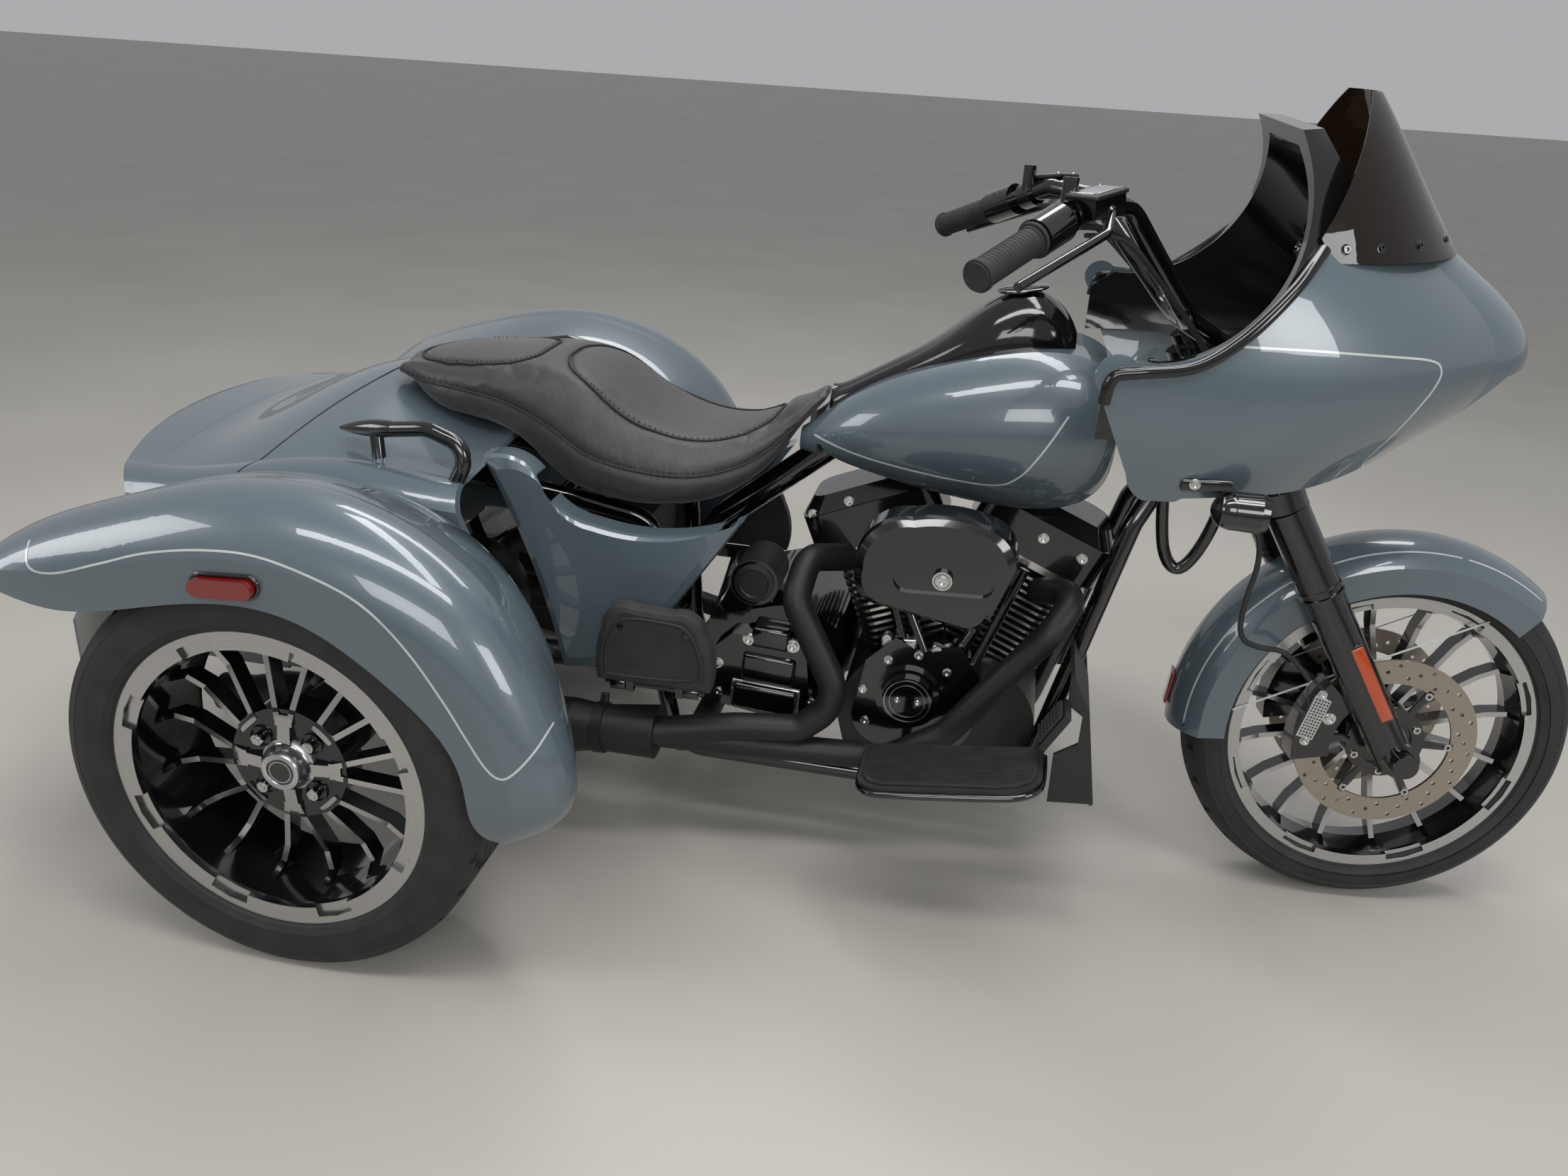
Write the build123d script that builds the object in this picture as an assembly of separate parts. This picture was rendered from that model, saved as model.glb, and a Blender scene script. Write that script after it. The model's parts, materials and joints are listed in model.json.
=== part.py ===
from build123d import *
import os
from math import atan2, cos, degrees, hypot, radians, sin, tan

# A motorized touring trike: one steered front wheel, a bare V-twin engine, two driven
# rear wheels under wide fenders with a trunk between them.
# Millimetres. X is forward, Y is left, Z is up, and the ground is Z = 0. Everything is
# drawn about the middle of the wheelbase, and moved forward by CENTRE_SHIFT when it is
# written, so that the origin is under the middle of the whole length.

# Driving dimensions
WHEELBASE = 1673.0
CENTRE_SHIFT = 124.0
FRONT_X = WHEELBASE / 2
REAR_X = -WHEELBASE / 2
FRONT_TYRE_R = 319.0
REAR_TYRE_R = 325.0
HALF_WIDTH = 722.0
REAR_WHEEL_Y = 605.0
TAIL_X = -1348.0

# Steering: the head leans back by RAKE, the fork tubes by FORK_ANGLE, and the bars
# stand turned to the left by STEER_LEFT, as the trike is parked
RAKE = 26.0
TRAIL = 100.0
FORK_ANGLE = 32.0
STEER_LEFT = 8.0
FORK_Y = 118.0

# Engine: a 45 degree V-twin about its crankshaft
CRANK = (88.0, 262.0)
V_HALF_ANGLE = 22.5
HEAD_HEIGHT = 395.0

# Sheet and glass thicknesses
SHEET = 4.0
BODY_WALL = 5.0

parts = {}


def edges_of(start, steps):
    """Edges from a start point: a step is a point for a line, or (middle, end) for an arc."""
    edges, here = [], start
    for step in steps:
        if isinstance(step[0], tuple):
            middle, end = step
            edges.append(ThreePointArc(here, middle, end))
        else:
            end = step
            edges.append(Line(here, end))
        here = end
    if hypot(here[0] - start[0], here[1] - start[1]) > 1e-6:
        edges.append(Line(here, start))
    return edges


def outline(start, *steps):
    """A flat face bounded by lines and arcs."""
    return make_face(edges_of(start, steps))


def side_plate(face, y_from, y_to):
    """An outline drawn in X and Z, given its thickness between two values of Y."""
    low, high = min(y_from, y_to), max(y_from, y_to)
    return Pos(0, high, 0) * extrude(Plane.XZ * face, high - low)


def shrunk(face, middle, share):
    """A flat outline made smaller about a point."""
    return Pos(middle[0] * (1 - share), middle[1] * (1 - share)) * scale(face, by=share)


def rounded_off(face, middle, y_edge, y_face):
    """The softened outer edge of a side plate: it shrinks towards its middle in two steps."""
    depth = y_face - y_edge
    rings = []
    for size, share in ((1.0, 0.0), (0.975, 0.62), (0.88, 1.0)):
        rings.append(Pos(0, y_edge + share * depth, 0) * (Plane.XZ * shrunk(face, middle, size)))
    return loft(rings, ruled=True)


def turned(face):
    """An outline drawn as (radius, height), spun about the Z axis."""
    return revolve(Plane.XZ * face, Axis.Z)


def rod(start, end, radius):
    """A round bar between two points."""
    start, end = Vector(*start), Vector(*end)
    run = end - start
    plane = Plane(origin=start, z_dir=run)
    return extrude(plane * Circle(radius), run.length)


def bent_bar(points, bends, radius):
    """A round bar along straight runs joined by arcs."""
    path = FilletPolyline(*points, radius=bends)
    return sweep(Plane(origin=path @ 0, z_dir=path % 0) * Circle(radius), path=path)


def on_axle(shape, x, y, z, outboard):
    """Turns a wheel part drawn about Z so that its outer face looks along outboard Y."""
    return Pos(x, y, z) * Rot(-90 * outboard, 0, 0) * shape


def other_side(shape):
    return mirror(shape, Plane.XZ)


SMALLEST_SOLID = 50.0


def group(*shapes):
    """Separate solids that share a node, without the specks that a cut can leave."""
    return Compound([solid for shape in shapes for solid in shape.solids() if solid.volume > SMALLEST_SOLID])


def both_sides(shape):
    return group(shape, other_side(shape))


def box_at(x, y, z):
    """A block between two values along each axis."""
    size = [hi - lo for lo, hi in (x, y, z)]
    centre = [(hi + lo) / 2 for lo, hi in (x, y, z)]
    return Pos(*centre) * Box(*size)


STEER_AXIS = Axis((FRONT_X + TRAIL, 0, 0), (-sin(radians(RAKE)), 0, cos(radians(RAKE))))


def steered(shape):
    """Turns a part of the front end from straight ahead to where the bars stand."""
    return shape.rotate(STEER_AXIS, STEER_LEFT)


# Wheels. Each is drawn about Z with its outer face up.
# The spokes stand in four bundles from the hub's loops and four from U brackets between
# them: (angle from the loop, start radius, half angle at the start, half angle at the rim)
SPOKE_BUNDLES = (
    (0.0, 74.0, 7.0, 12.0),
    (45.0, 88.0, 9.0, 11.0),
)
SPOKE_WIDTH = 9.0
RING_NOTCHES = 8


def polar(radius, angle):
    return (radius * cos(radians(angle)), radius * sin(radians(angle)))


def spoke_sketch(ring_r, reach):
    """The spokes seen from outside: thin legs, closed at the hub end of each bundle."""
    legs = []
    for quarter in range(4):
        for offset, start_r, start_half, end_half in SPOKE_BUNDLES:
            middle = 90.0 * quarter + offset
            start_r = start_r * reach
            ends = []
            for side in (-1, 1):
                foot = polar(start_r, middle + side * start_half)
                tip = polar(ring_r, middle + side * end_half)
                length = hypot(tip[0] - foot[0], tip[1] - foot[1])
                turn = degrees(atan2(tip[1] - foot[1], tip[0] - foot[0]))
                centre = ((foot[0] + tip[0]) / 2, (foot[1] + tip[1]) / 2)
                legs.append(Pos(*centre) * Rot(0, 0, turn) * Rectangle(length, SPOKE_WIDTH))
                ends.append(foot)
            base = hypot(ends[1][0] - ends[0][0], ends[1][1] - ends[0][1]) + SPOKE_WIDTH
            foot_r = start_r * cos(radians(start_half))
            legs.append(Rot(0, 0, middle) * Pos(foot_r, 0) * Rectangle(14, base))
            if offset == 0.0:
                root = (foot_r - 20) / 2
                legs.append(Rot(0, 0, middle) * Pos(root + 20, 0) * Rectangle(foot_r, 20))
    return Sketch() + legs


def wheel_rim(flange_r, bead_r, half, ring_w, dish, hub):
    """Barrel, machined ring with its notches, spokes and hub.
    dish is (radius, height) down the spokes' front edge, and hub is (radius, front, back)."""
    ring_r = flange_r - ring_w
    barrel = turned(outline(
        (flange_r, half), (flange_r, half - 7), (bead_r, half - 13),
        (bead_r, 13 - half), (flange_r, 7 - half), (flange_r, -half),
        (flange_r - 9, -half), (bead_r - 12, 18 - half), (bead_r - 16, 0),
        (ring_r - 3, half - 12), (ring_r, half)))
    notch = Pos(0, 0, half - 7) * extrude(
        make_face(Polyline(polar(ring_r - 8, -7.5), polar(ring_r + ring_w * 0.55, -7.5),
                           polar(ring_r + ring_w * 0.62, 0), polar(ring_r + ring_w * 0.55, 7.5),
                           polar(ring_r - 8, 7.5), close=True)), 14)
    for step in range(RING_NOTCHES):
        barrel = barrel - Rot(0, 0, 22.5 + step * 360.0 / RING_NOTCHES) * notch
    under = [(r, z - 30) for r, z in reversed(dish)]
    envelope = turned(outline(dish[0], *dish[1:], *under))
    spokes = extrude(spoke_sketch(bead_r - 6, hub[0] / 92.0), 2 * half, both=True) & envelope
    hub_r, hub_front, hub_back = hub
    disc = Pos(0, 0, hub_back) * Cylinder(
        hub_r, hub_front - hub_back, align=(Align.CENTER, Align.CENTER, Align.MIN))
    return barrel + spokes + disc


def tyre(tread_r, flange_r, bead_r, half, wall_half, shoulder_r, crown_half):
    """A tyre's ring, seated on the rim's beads."""
    return turned(outline(
        (bead_r, 13 - half), (bead_r, half - 13), (flange_r, half - 7),
        (flange_r + 1.5, half + 1),
        (((flange_r + shoulder_r) / 2, wall_half), (shoulder_r, wall_half - 7)),
        (((shoulder_r * 0.35 + tread_r * 0.65), (wall_half + crown_half) / 2 + 2),
         (tread_r, crown_half)),
        (tread_r, -crown_half),
        (((shoulder_r * 0.35 + tread_r * 0.65), -(wall_half + crown_half) / 2 - 2),
         (shoulder_r, 7 - wall_half)),
        (((flange_r + shoulder_r) / 2, -wall_half), (flange_r + 1.5, -half - 1)),
        (flange_r, 7 - half)))


REAR_RIM = dict(flange_r=246.0, bead_r=228.6, half=95.0, ring_w=30.0,
                dish=((40, 44), (80, 38), (170, 14), (200, 18), (216, 55), (224, 92)),
                hub=(92.0, 34.0, -14.0))
REAR_TYRE = dict(tread_r=REAR_TYRE_R, flange_r=246.0, bead_r=228.6, half=95.0,
                 wall_half=107.5, shoulder_r=306.0, crown_half=78.0)
FRONT_RIM = dict(flange_r=255.0, bead_r=241.3, half=53.0, ring_w=20.0,
                 dish=((30, 18), (80, 17), (190, 10), (222, 18), (236, 50)),
                 hub=(58.0, 16.0, -16.0))
FRONT_TYRE = dict(tread_r=FRONT_TYRE_R, flange_r=255.0, bead_r=241.3, half=53.0,
                  wall_half=65.0, shoulder_r=296.0, crown_half=20.0)


def rear_wheels():
    for name, side in (("right", -1), ("left", 1)):
        rim = wheel_rim(**REAR_RIM)
        cap = Pos(0, 0, 34) * Cylinder(30, 24, align=(Align.CENTER, Align.CENTER, Align.MIN))
        for step in range(4):
            nut = Pos(*polar(58, 45 + 90 * step), 34) * Cylinder(
                9, 14, align=(Align.CENTER, Align.CENTER, Align.MIN))
            rim = rim + nut
        place = (REAR_X, side * REAR_WHEEL_Y, REAR_TYRE_R, side)
        parts["rear_rim_" + name] = on_axle(rim + cap, *place)
        parts["rear_tyre_" + name] = on_axle(tyre(**REAR_TYRE), *place)


DISC_R = 150.0
DISC_Y = 72.0


def brake_disc():
    """A ring on six arms of its carrier, drawn about Z."""
    ring = Cylinder(DISC_R, 5) - Cylinder(DISC_R - 42, 6)
    carrier = Cylinder(62, 5) - Cylinder(44, 6)
    for step in range(6):
        carrier = carrier + Rot(0, 0, step * 60) * Pos(86, 0, 0) * Box(56, 16, 5)
    return ring + carrier


def front_wheel():
    rim = wheel_rim(**FRONT_RIM)
    drum = Cylinder(44, 2 * DISC_Y - 5) - Cylinder(13.5, 400)
    rim = (rim - Cylinder(13.5, 400)) + drum
    place = (FRONT_X, 0, FRONT_TYRE_R, -1)
    parts["front_rim"] = steered(on_axle(rim, *place))
    parts["front_tyre"] = steered(on_axle(tyre(**FRONT_TYRE), *place))
    discs = [on_axle(brake_disc() + (Cylinder(46, 5) - Cylinder(13.5, 6)),
                     FRONT_X, side * DISC_Y, FRONT_TYRE_R, side) for side in (-1, 1)]
    parts["front_discs"] = steered(group(*discs))


# Front end, drawn straight ahead. A point on the fork is given by its height.
def fork_x(z):
    """Where the fork tubes' centre line runs: through a point just behind the axle."""
    return FRONT_X - 6 - (z - FRONT_TYRE_R) * tan(radians(FORK_ANGLE))


LOWER_CLAMP_Z = 745.0
UPPER_CLAMP_Z = 935.0
FORK_TOP_Z = 955.0
SLIDER_TOP_Z = 600.0
FORK_TUBE_R = 25.0
SLIDER_R = 32.0
COVER_R = 34.0
AXLE_R = 12.5


def fork_point(z, y):
    return (fork_x(z), y, z)


def steer_x(z):
    """The steering axis at a height."""
    return FRONT_X + TRAIL - z * tan(radians(RAKE))


def fork_legs():
    legs = []
    for side in (-1, 1):
        y = side * FORK_Y
        slider = rod(fork_point(FRONT_TYRE_R - 14, y), fork_point(SLIDER_TOP_Z, y), SLIDER_R)
        cover = rod(fork_point(SLIDER_TOP_Z, y), fork_point(LOWER_CLAMP_Z - 22, y), COVER_R)
        tube = rod(fork_point(LOWER_CLAMP_Z - 23, y), fork_point(FORK_TOP_Z, y), FORK_TUBE_R)
        bore = Pos(FRONT_X, y, FRONT_TYRE_R) * Rot(90, 0, 0) * Cylinder(AXLE_R + 0.2, 90)
        boss = Pos(FRONT_X, y, FRONT_TYRE_R) * Rot(90, 0, 0) * Cylinder(30, 2 * SLIDER_R - 6)
        legs.append(slider + cover + tube + boss - bore)
    parts["fork_legs"] = steered(group(*legs))


def front_axle():
    bar = Pos(FRONT_X, 0, FRONT_TYRE_R) * Rot(90, 0, 0) * Cylinder(AXLE_R, 2 * FORK_Y + 84)
    caps = [Pos(FRONT_X, side * (FORK_Y + 41.5), FRONT_TYRE_R) * Rot(90, 0, 0) * Cylinder(20, 18)
            for side in (-1, 1)]
    spacers = [Pos(FRONT_X, side * 80.5, FRONT_TYRE_R) * Rot(90, 0, 0) * Cylinder(22, 10.4)
               for side in (-1, 1)]
    parts["front_axle"] = steered(bar + caps + spacers)


def triple_clamps():
    """Two plates that hold the fork tubes, on the stem in the steering head."""
    plates = []
    for z, thick in ((LOWER_CLAMP_Z, 34.0), (UPPER_CLAMP_Z, 26.0)):
        ahead = fork_x(z) - steer_x(z)
        shape = Sketch() + [
            Pos(ahead, 0) * Rectangle(52, 2 * FORK_Y),
            Rectangle(66, 90),
            Pos(ahead, FORK_Y) * Circle(FORK_TUBE_R + 13),
            Pos(ahead, -FORK_Y) * Circle(FORK_TUBE_R + 13)]
        plate = Pos(steer_x(z), 0, z) * Rot(0, -RAKE, 0) * extrude(shape, thick / 2, both=True)
        for side in (-1, 1):
            plate = plate - rod(fork_point(z - 60, side * FORK_Y), fork_point(z + 60, side * FORK_Y),
                                FORK_TUBE_R + 0.2)
        plates.append(plate)
    stem = rod((steer_x(LOWER_CLAMP_Z - 10), 0, LOWER_CLAMP_Z - 10),
               (steer_x(UPPER_CLAMP_Z + 22), 0, UPPER_CLAMP_Z + 22), 14)
    parts["triple_clamps"] = steered(plates[0] + plates[1] + stem)


# Handlebar: the right half's points, from the middle of the clamp to the bar end
BAR_R = 15.9
BAR_POINTS = (
    (408, 0, 988), (398, -62, 988), (262, -150, 1155), (196, -215, 1163), (34, -419, 1074),
)
BAR_BENDS = (60, 60, 40)
GRIP_R = 19.5


def bar_point(share):
    """A point on the straight end of the right half: 0 at the bend, 1 at the bar end."""
    start, end = Vector(*BAR_POINTS[3]), Vector(*BAR_POINTS[4])
    return start + (end - start) * share


def handlebar():
    right = list(BAR_POINTS)
    left = [(x, -y, z) for x, y, z in reversed(right)]
    points = left[:-1] + right[1:]
    bends = [BAR_BENDS[2], BAR_BENDS[1], BAR_BENDS[0], BAR_BENDS[0], BAR_BENDS[1], BAR_BENDS[2]]
    bar = bent_bar(points, bends, BAR_R)
    risers = []
    for side in (-1, 1):
        foot = (steer_x(UPPER_CLAMP_Z) - 6, side * 38, UPPER_CLAMP_Z + 10)
        risers.append(rod(foot, (398, side * 38, 988), 17))
    parts["handlebar"] = steered(bar + risers) - parts["triple_clamps"]


GRIP_SHARE = 0.53


def grips():
    a, b = bar_point(GRIP_SHARE), bar_point(1)
    run = (b - a).normalized()
    grip = rod(tuple(a), tuple(b + run * 6), GRIP_R)
    grip = grip - rod(tuple(a - run * 5), tuple(b), BAR_R)
    parts["grips"] = steered(both_sides(grip))


# The blind threaded hole that takes a mirror's stem, on each control clamp
MIRROR_TOP, MIRROR_DEEP, MIRROR_HOLE_R = 44.0, 18.0, 4.0
DRILL_POINT = 2.4


def hand_controls():
    """Switch housing, master cylinder with its lid, and a lever, on each side."""
    a, b = bar_point(0.30), bar_point(1)
    run = (b - a).normalized()
    housing = rod(tuple(a), tuple(a + run * 62), 27)
    clamp_at = bar_point(0.14)
    clamp = rod(tuple(clamp_at - run), tuple(clamp_at + run * 27), 22)
    hollow = rod(tuple(bar_point(0.0)), tuple(b), BAR_R)
    cylinder = Pos(clamp_at.X + 24, clamp_at.Y + 2, clamp_at.Z + 8) * Rot(0, -8, 52) * Box(84, 46, 30)
    link = rod(tuple(clamp_at + run * 10), (clamp_at.X + 20, clamp_at.Y, clamp_at.Z + 14), 15)
    lever_path = [(clamp_at.X + 44, clamp_at.Y - 8, clamp_at.Z + 2),
                  (clamp_at.X + 34, clamp_at.Y - 60, clamp_at.Z - 22),
                  (clamp_at.X - 92, clamp_at.Y - 205, clamp_at.Z - 84)]
    lever = bent_bar(lever_path, 25, 6.5)
    root = rod(lever_path[0], (clamp_at.X + 30, clamp_at.Y, clamp_at.Z + 14), 9)
    stud_at = (clamp_at.X - 14, clamp_at.Y, clamp_at.Z)
    boss = rod(stud_at, (stud_at[0], stud_at[1], stud_at[2] + MIRROR_TOP), 11)
    hole_end = (stud_at[0], stud_at[1], stud_at[2] + MIRROR_TOP - MIRROR_DEEP)
    thread = rod(hole_end, (stud_at[0], stud_at[1], stud_at[2] + MIRROR_TOP + 5), MIRROR_HOLE_R)
    drill_point = Pos(*hole_end) * Rot(180, 0, 0) * Cone(
        MIRROR_HOLE_R, 0.2, DRILL_POINT, align=(Align.CENTER, Align.CENTER, Align.MIN))
    control = (housing + clamp + link + cylinder + boss - hollow - thread - drill_point) + root + lever
    parts["hand_controls"] = steered(both_sides(control)) - parts["handlebar"] - parts["grips"]


# Front fender: a strip round the tyre, from behind it at the bottom to in front at the top
FENDER_GAP_R = 346.0
FENDER_HALF = 78.0


def front_fender():
    low, brow, half = FENDER_GAP_R - 78, FENDER_GAP_R - 34, FENDER_HALF
    crown = outline(
        (low, half), (brow, half), ((FENDER_GAP_R + SHEET, 0), (brow, -half)),
        (low, -half), (low, SHEET - half), (brow - 1, SHEET - half),
        ((FENDER_GAP_R, 0), (brow - 1, half - SHEET)), (low, half - SHEET))
    shell = Rot(0, 0, 51) * revolve(Plane.XZ * crown, Axis.Z, 133)
    shell = on_axle(shell, FRONT_X, 0, FRONT_TYRE_R, -1)
    # Bosses that stand the fender off the two sliders
    for side in (-1, 1):
        for z in (556, 578):
            boss = Pos(*fork_point(z, side * 84)) * Rot(90, 0, 0) * Cylinder(13, 20)
            shell = shell + (boss - rod(fork_point(z - 60, side * FORK_Y),
                                        fork_point(z + 60, side * FORK_Y), SLIDER_R))
    parts["front_fender"] = steered(shell)


CALIPER_ANGLES = (-12.0, 42.0)


def front_calipers():
    calipers = []
    for side in (-1, 1):
        body = on_axle(Cylinder(DISC_R + 14, 46) - Cylinder(DISC_R - 48, 60),
                       FRONT_X, side * (DISC_Y + 9), FRONT_TYRE_R, side)
        corners = [(FRONT_X - 260 * cos(radians(turn)), FRONT_TYRE_R + 260 * sin(radians(turn)))
                   for turn in CALIPER_ANGLES]
        wedge = side_plate(outline((FRONT_X, FRONT_TYRE_R), *corners), side * 30, side * 130)
        slot = on_axle(Cylinder(DISC_R + 6, 12), FRONT_X, side * DISC_Y, FRONT_TYRE_R, side)
        leg = rod(fork_point(FRONT_TYRE_R - 20, side * FORK_Y), fork_point(560, side * FORK_Y), SLIDER_R)
        calipers.append((body & wedge) - slot - leg)
    parts["front_calipers"] = steered(group(*calipers))


# Frame
HEAD_LOW = (steer_x(LOWER_CLAMP_Z + 20), 0, LOWER_CLAMP_Z + 20)
HEAD_HIGH = (steer_x(UPPER_CLAMP_Z - 16), 0, UPPER_CLAMP_Z - 16)


# The right rail, from the steering head down, back under the engine and up to carry the seat
RAIL_POINTS = (
    (437, -30, 790), (372, -72, 660), (262, -126, 215), (225, -136, 150), (-372, -136, 150),
    (-412, -120, 300), (-424, -110, 575), (-560, -110, 596), (-955, -110, 640),
)
RAIL_BENDS = (60, 110, 60, 70, 70, 60, 60)
RAIL_R = 16.0
# Tubes that join the two rails: (x, half length, height)
CROSS_TUBES = ((190, 130, 150), (-340, 130, 150), (-424, 108, 470), (-600, 108, 600), (-930, 108, 637))


def frame():
    head = rod(HEAD_LOW, HEAD_HIGH, 34) - rod(
        (steer_x(LOWER_CLAMP_Z - 40), 0, LOWER_CLAMP_Z - 40),
        (steer_x(UPPER_CLAMP_Z + 60), 0, UPPER_CLAMP_Z + 60), 14.4)
    spine = bent_bar([(500, 0, 830), (300, 0, 800), (-120, 0, 735), (-330, 0, 560), (-420, 0, 430)], [60, 90, 60], 24)
    spine = spine - rod((steer_x(700), 0, 700), (steer_x(1000), 0, 1000), 33)
    parts["frame_backbone"] = head + spine
    rail = bent_bar(RAIL_POINTS, RAIL_BENDS, RAIL_R)
    rail = rail - rod(HEAD_LOW, HEAD_HIGH, 34.2)
    cross = [rod((x, -y, z), (x, y, z), 14) for x, y, z in CROSS_TUBES]
    parts["frame_cradle"] = (rail + other_side(rail) + cross) - parts["frame_backbone"]
    box = box_at((-560, -442), (-86, 86), (376, 576))
    tray = box_at((-566, -436), (-94, 94), (366, 376))
    parts["battery_box"] = box + tray - parts["frame_cradle"]


AXLE_TUBE_Y = 470.0


def swingarm_and_axle():
    tube = Pos(REAR_X, 0, REAR_TYRE_R) * Rot(90, 0, 0) * Cylinder(38, 2 * AXLE_TUBE_Y)
    case = Pos(REAR_X, 0, REAR_TYRE_R) * (Sphere(120) & Box(230, 190, 220))
    parts["rear_axle"] = tube + case
    for side in (-1, 1):
        flange = Pos(REAR_X, side * (AXLE_TUBE_Y + 15), REAR_TYRE_R) * Rot(90, 0, 0) * Cylinder(60, 30)
        parts["rear_axle"] = parts["rear_axle"] + flange
    arm = bent_bar([(-452, -100, 322), (-470, -150, 322), (-640, -176, 322), (REAR_X + 20, -190, 325)],
                   [24, 160], 22)
    pivot = rod((-452, -128, 322), (-452, 128, 322), 24)
    parts["swingarm"] = (pivot + arm + other_side(arm)) - parts["rear_axle"] - parts["frame_cradle"]


# Engine
CYLINDER_HALF_Y = 75.0
CASE_HALF_Y = 106.0
FIN_PITCH = 13.0
FINS = 13
FIN_FROM = 150.0
FIN_WIDE = 176.0
ROCKER_LONG = 240.0
ROCKER_TALL = 84.0


def lean(shape, side):
    """Turns a part drawn upright over the crankshaft: side +1 is the front cylinder."""
    return Pos(CRANK[0], 0, CRANK[1]) * Rot(0, side * V_HALF_ANGLE, 0) * shape


def half_space(side):
    """The room in front of (+1) or behind (-1) the plane between the cylinders."""
    near = CRANK[0] + side * 2
    return box_at((min(near, near + side * 400), max(near, near + side * 400)), (-200, 200), (100, 900))


def up_cylinder(shape_2d, low, high):
    return Pos(0, 0, low) * extrude(shape_2d, high - low)


def cylinder(side):
    """A cylinder and its head in one stack of fins, cut away where the two meet."""
    stack = up_cylinder(Circle(58), 120, FIN_FROM + FINS * FIN_PITCH + 6)
    for step in range(FINS):
        low = FIN_FROM + step * FIN_PITCH
        fin = RectangleRounded(FIN_WIDE, 2 * CYLINDER_HALF_Y, 34)
        stack = stack + up_cylinder(fin, low, low + 5)
    return lean(stack, side) & half_space(side)


def rocker_cover(side):
    """The machined band, the rocker box and its domed lid."""
    base = FIN_FROM + FINS * FIN_PITCH + 6
    top = HEAD_HEIGHT + ROCKER_TALL / 2
    band = up_cylinder(RectangleRounded(ROCKER_LONG - 30, 2 * CYLINDER_HALF_Y + 4, 30), base, base + 14)
    box = up_cylinder(RectangleRounded(ROCKER_LONG, 2 * CYLINDER_HALF_Y + 10, 40), base + 14, top - 26)
    lid = loft([Pos(0, 0, top - 26) * RectangleRounded(ROCKER_LONG - 8, 2 * CYLINDER_HALF_Y, 38),
                Pos(0, 0, top) * RectangleRounded(ROCKER_LONG - 52, 2 * CYLINDER_HALF_Y - 40, 30)])
    return lean(band + box + lid, side) & half_space(side)


# Tappet blocks and pushrod tubes: (foot x, foot z, side, distance up the head)
PUSHRODS = ((30, 392, -1), (62, 398, -1), (112, 400, 1), (146, 392, 1))
CAM_CENTRE = (41.0, 321.0)
CAM_FACE_Y = -158.0


def engine():
    crankcase = side_plate(outline(
        (-66, 176), (236, 176), (262, 236), ((244, 330), (176, 384)), (88, 404),
        (-2, 384), ((-62, 330), (-84, 240))), -CASE_HALF_Y, CASE_HALF_Y)
    parts["cylinders"] = group(*[cylinder(side) - crankcase for side in (-1, 1)])
    parts["rocker_covers"] = group(*[rocker_cover(side) for side in (-1, 1)])
    cam_cover = side_plate(outline(
        (-50, 300), ((-40, 236), (30, 222)), (60, 222), ((140, 240), (152, 310)),
        (160, 372), (120, 430), (60, 405), (10, 430), (-38, 380)), -CASE_HALF_Y, CAM_FACE_Y + 14)
    timer = Pos(CAM_CENTRE[0], CAM_FACE_Y + 14, CAM_CENTRE[1]) * Rot(90, 0, 0) * Cylinder(
        56, 10, align=(Align.CENTER, Align.CENTER, Align.MIN))
    timer_lid = Pos(CAM_CENTRE[0], CAM_FACE_Y + 4, CAM_CENTRE[1]) * Rot(90, 0, 0) * Cylinder(
        44, 10, align=(Align.CENTER, Align.CENTER, Align.MIN))
    parts["crankcase"] = crankcase
    parts["cam_cover"] = cam_cover + timer + timer_lid
    rods = []
    for x, z, side in PUSHRODS:
        top_at = 350
        lean_x = CRANK[0] + side * top_at * sin(radians(V_HALF_ANGLE)) - side * 30
        lean_z = CRANK[1] + top_at * cos(radians(V_HALF_ANGLE)) - 20
        rods.append(rod((x, -128, z), (lean_x + (x - 88) * 0.3, -96, lean_z), 9))
    parts["pushrod_tubes"] = group(*rods) - parts["cam_cover"] - parts["rocker_covers"]
    parts["transmission"] = side_plate(outline(
        (-330, 262), (-120, 232), (-90, 262), (-90, 430), ((-150, 462), (-220, 456)), (-310, 430),
        (-338, 380)), -150, CASE_HALF_Y + 22) + side_plate(outline(
            (-292, 292), (-150, 276), (-128, 300), (-140, 400), (-270, 410), (-300, 380)), -172, -150)
    starter = Pos(-240, -60, 500) * Rot(90, 0, 0) * Cylinder(
        40, 92, align=(Align.CENTER, Align.CENTER, Align.MIN))
    parts["transmission"] = parts["transmission"] + starter + box_at((-262, -218), (-120, -70), (440, 480))
    parts["primary_cover"] = side_plate(outline(
        (-250, 232), (60, 190), ((176, 250), (120, 372)), (-230, 400), ((-330, 330), (-250, 232))),
        CASE_HALF_Y + 22, CASE_HALF_Y + 92)


AIR_FACE_Y = -282.0
AIR_BACK_Y = -212.0


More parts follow.
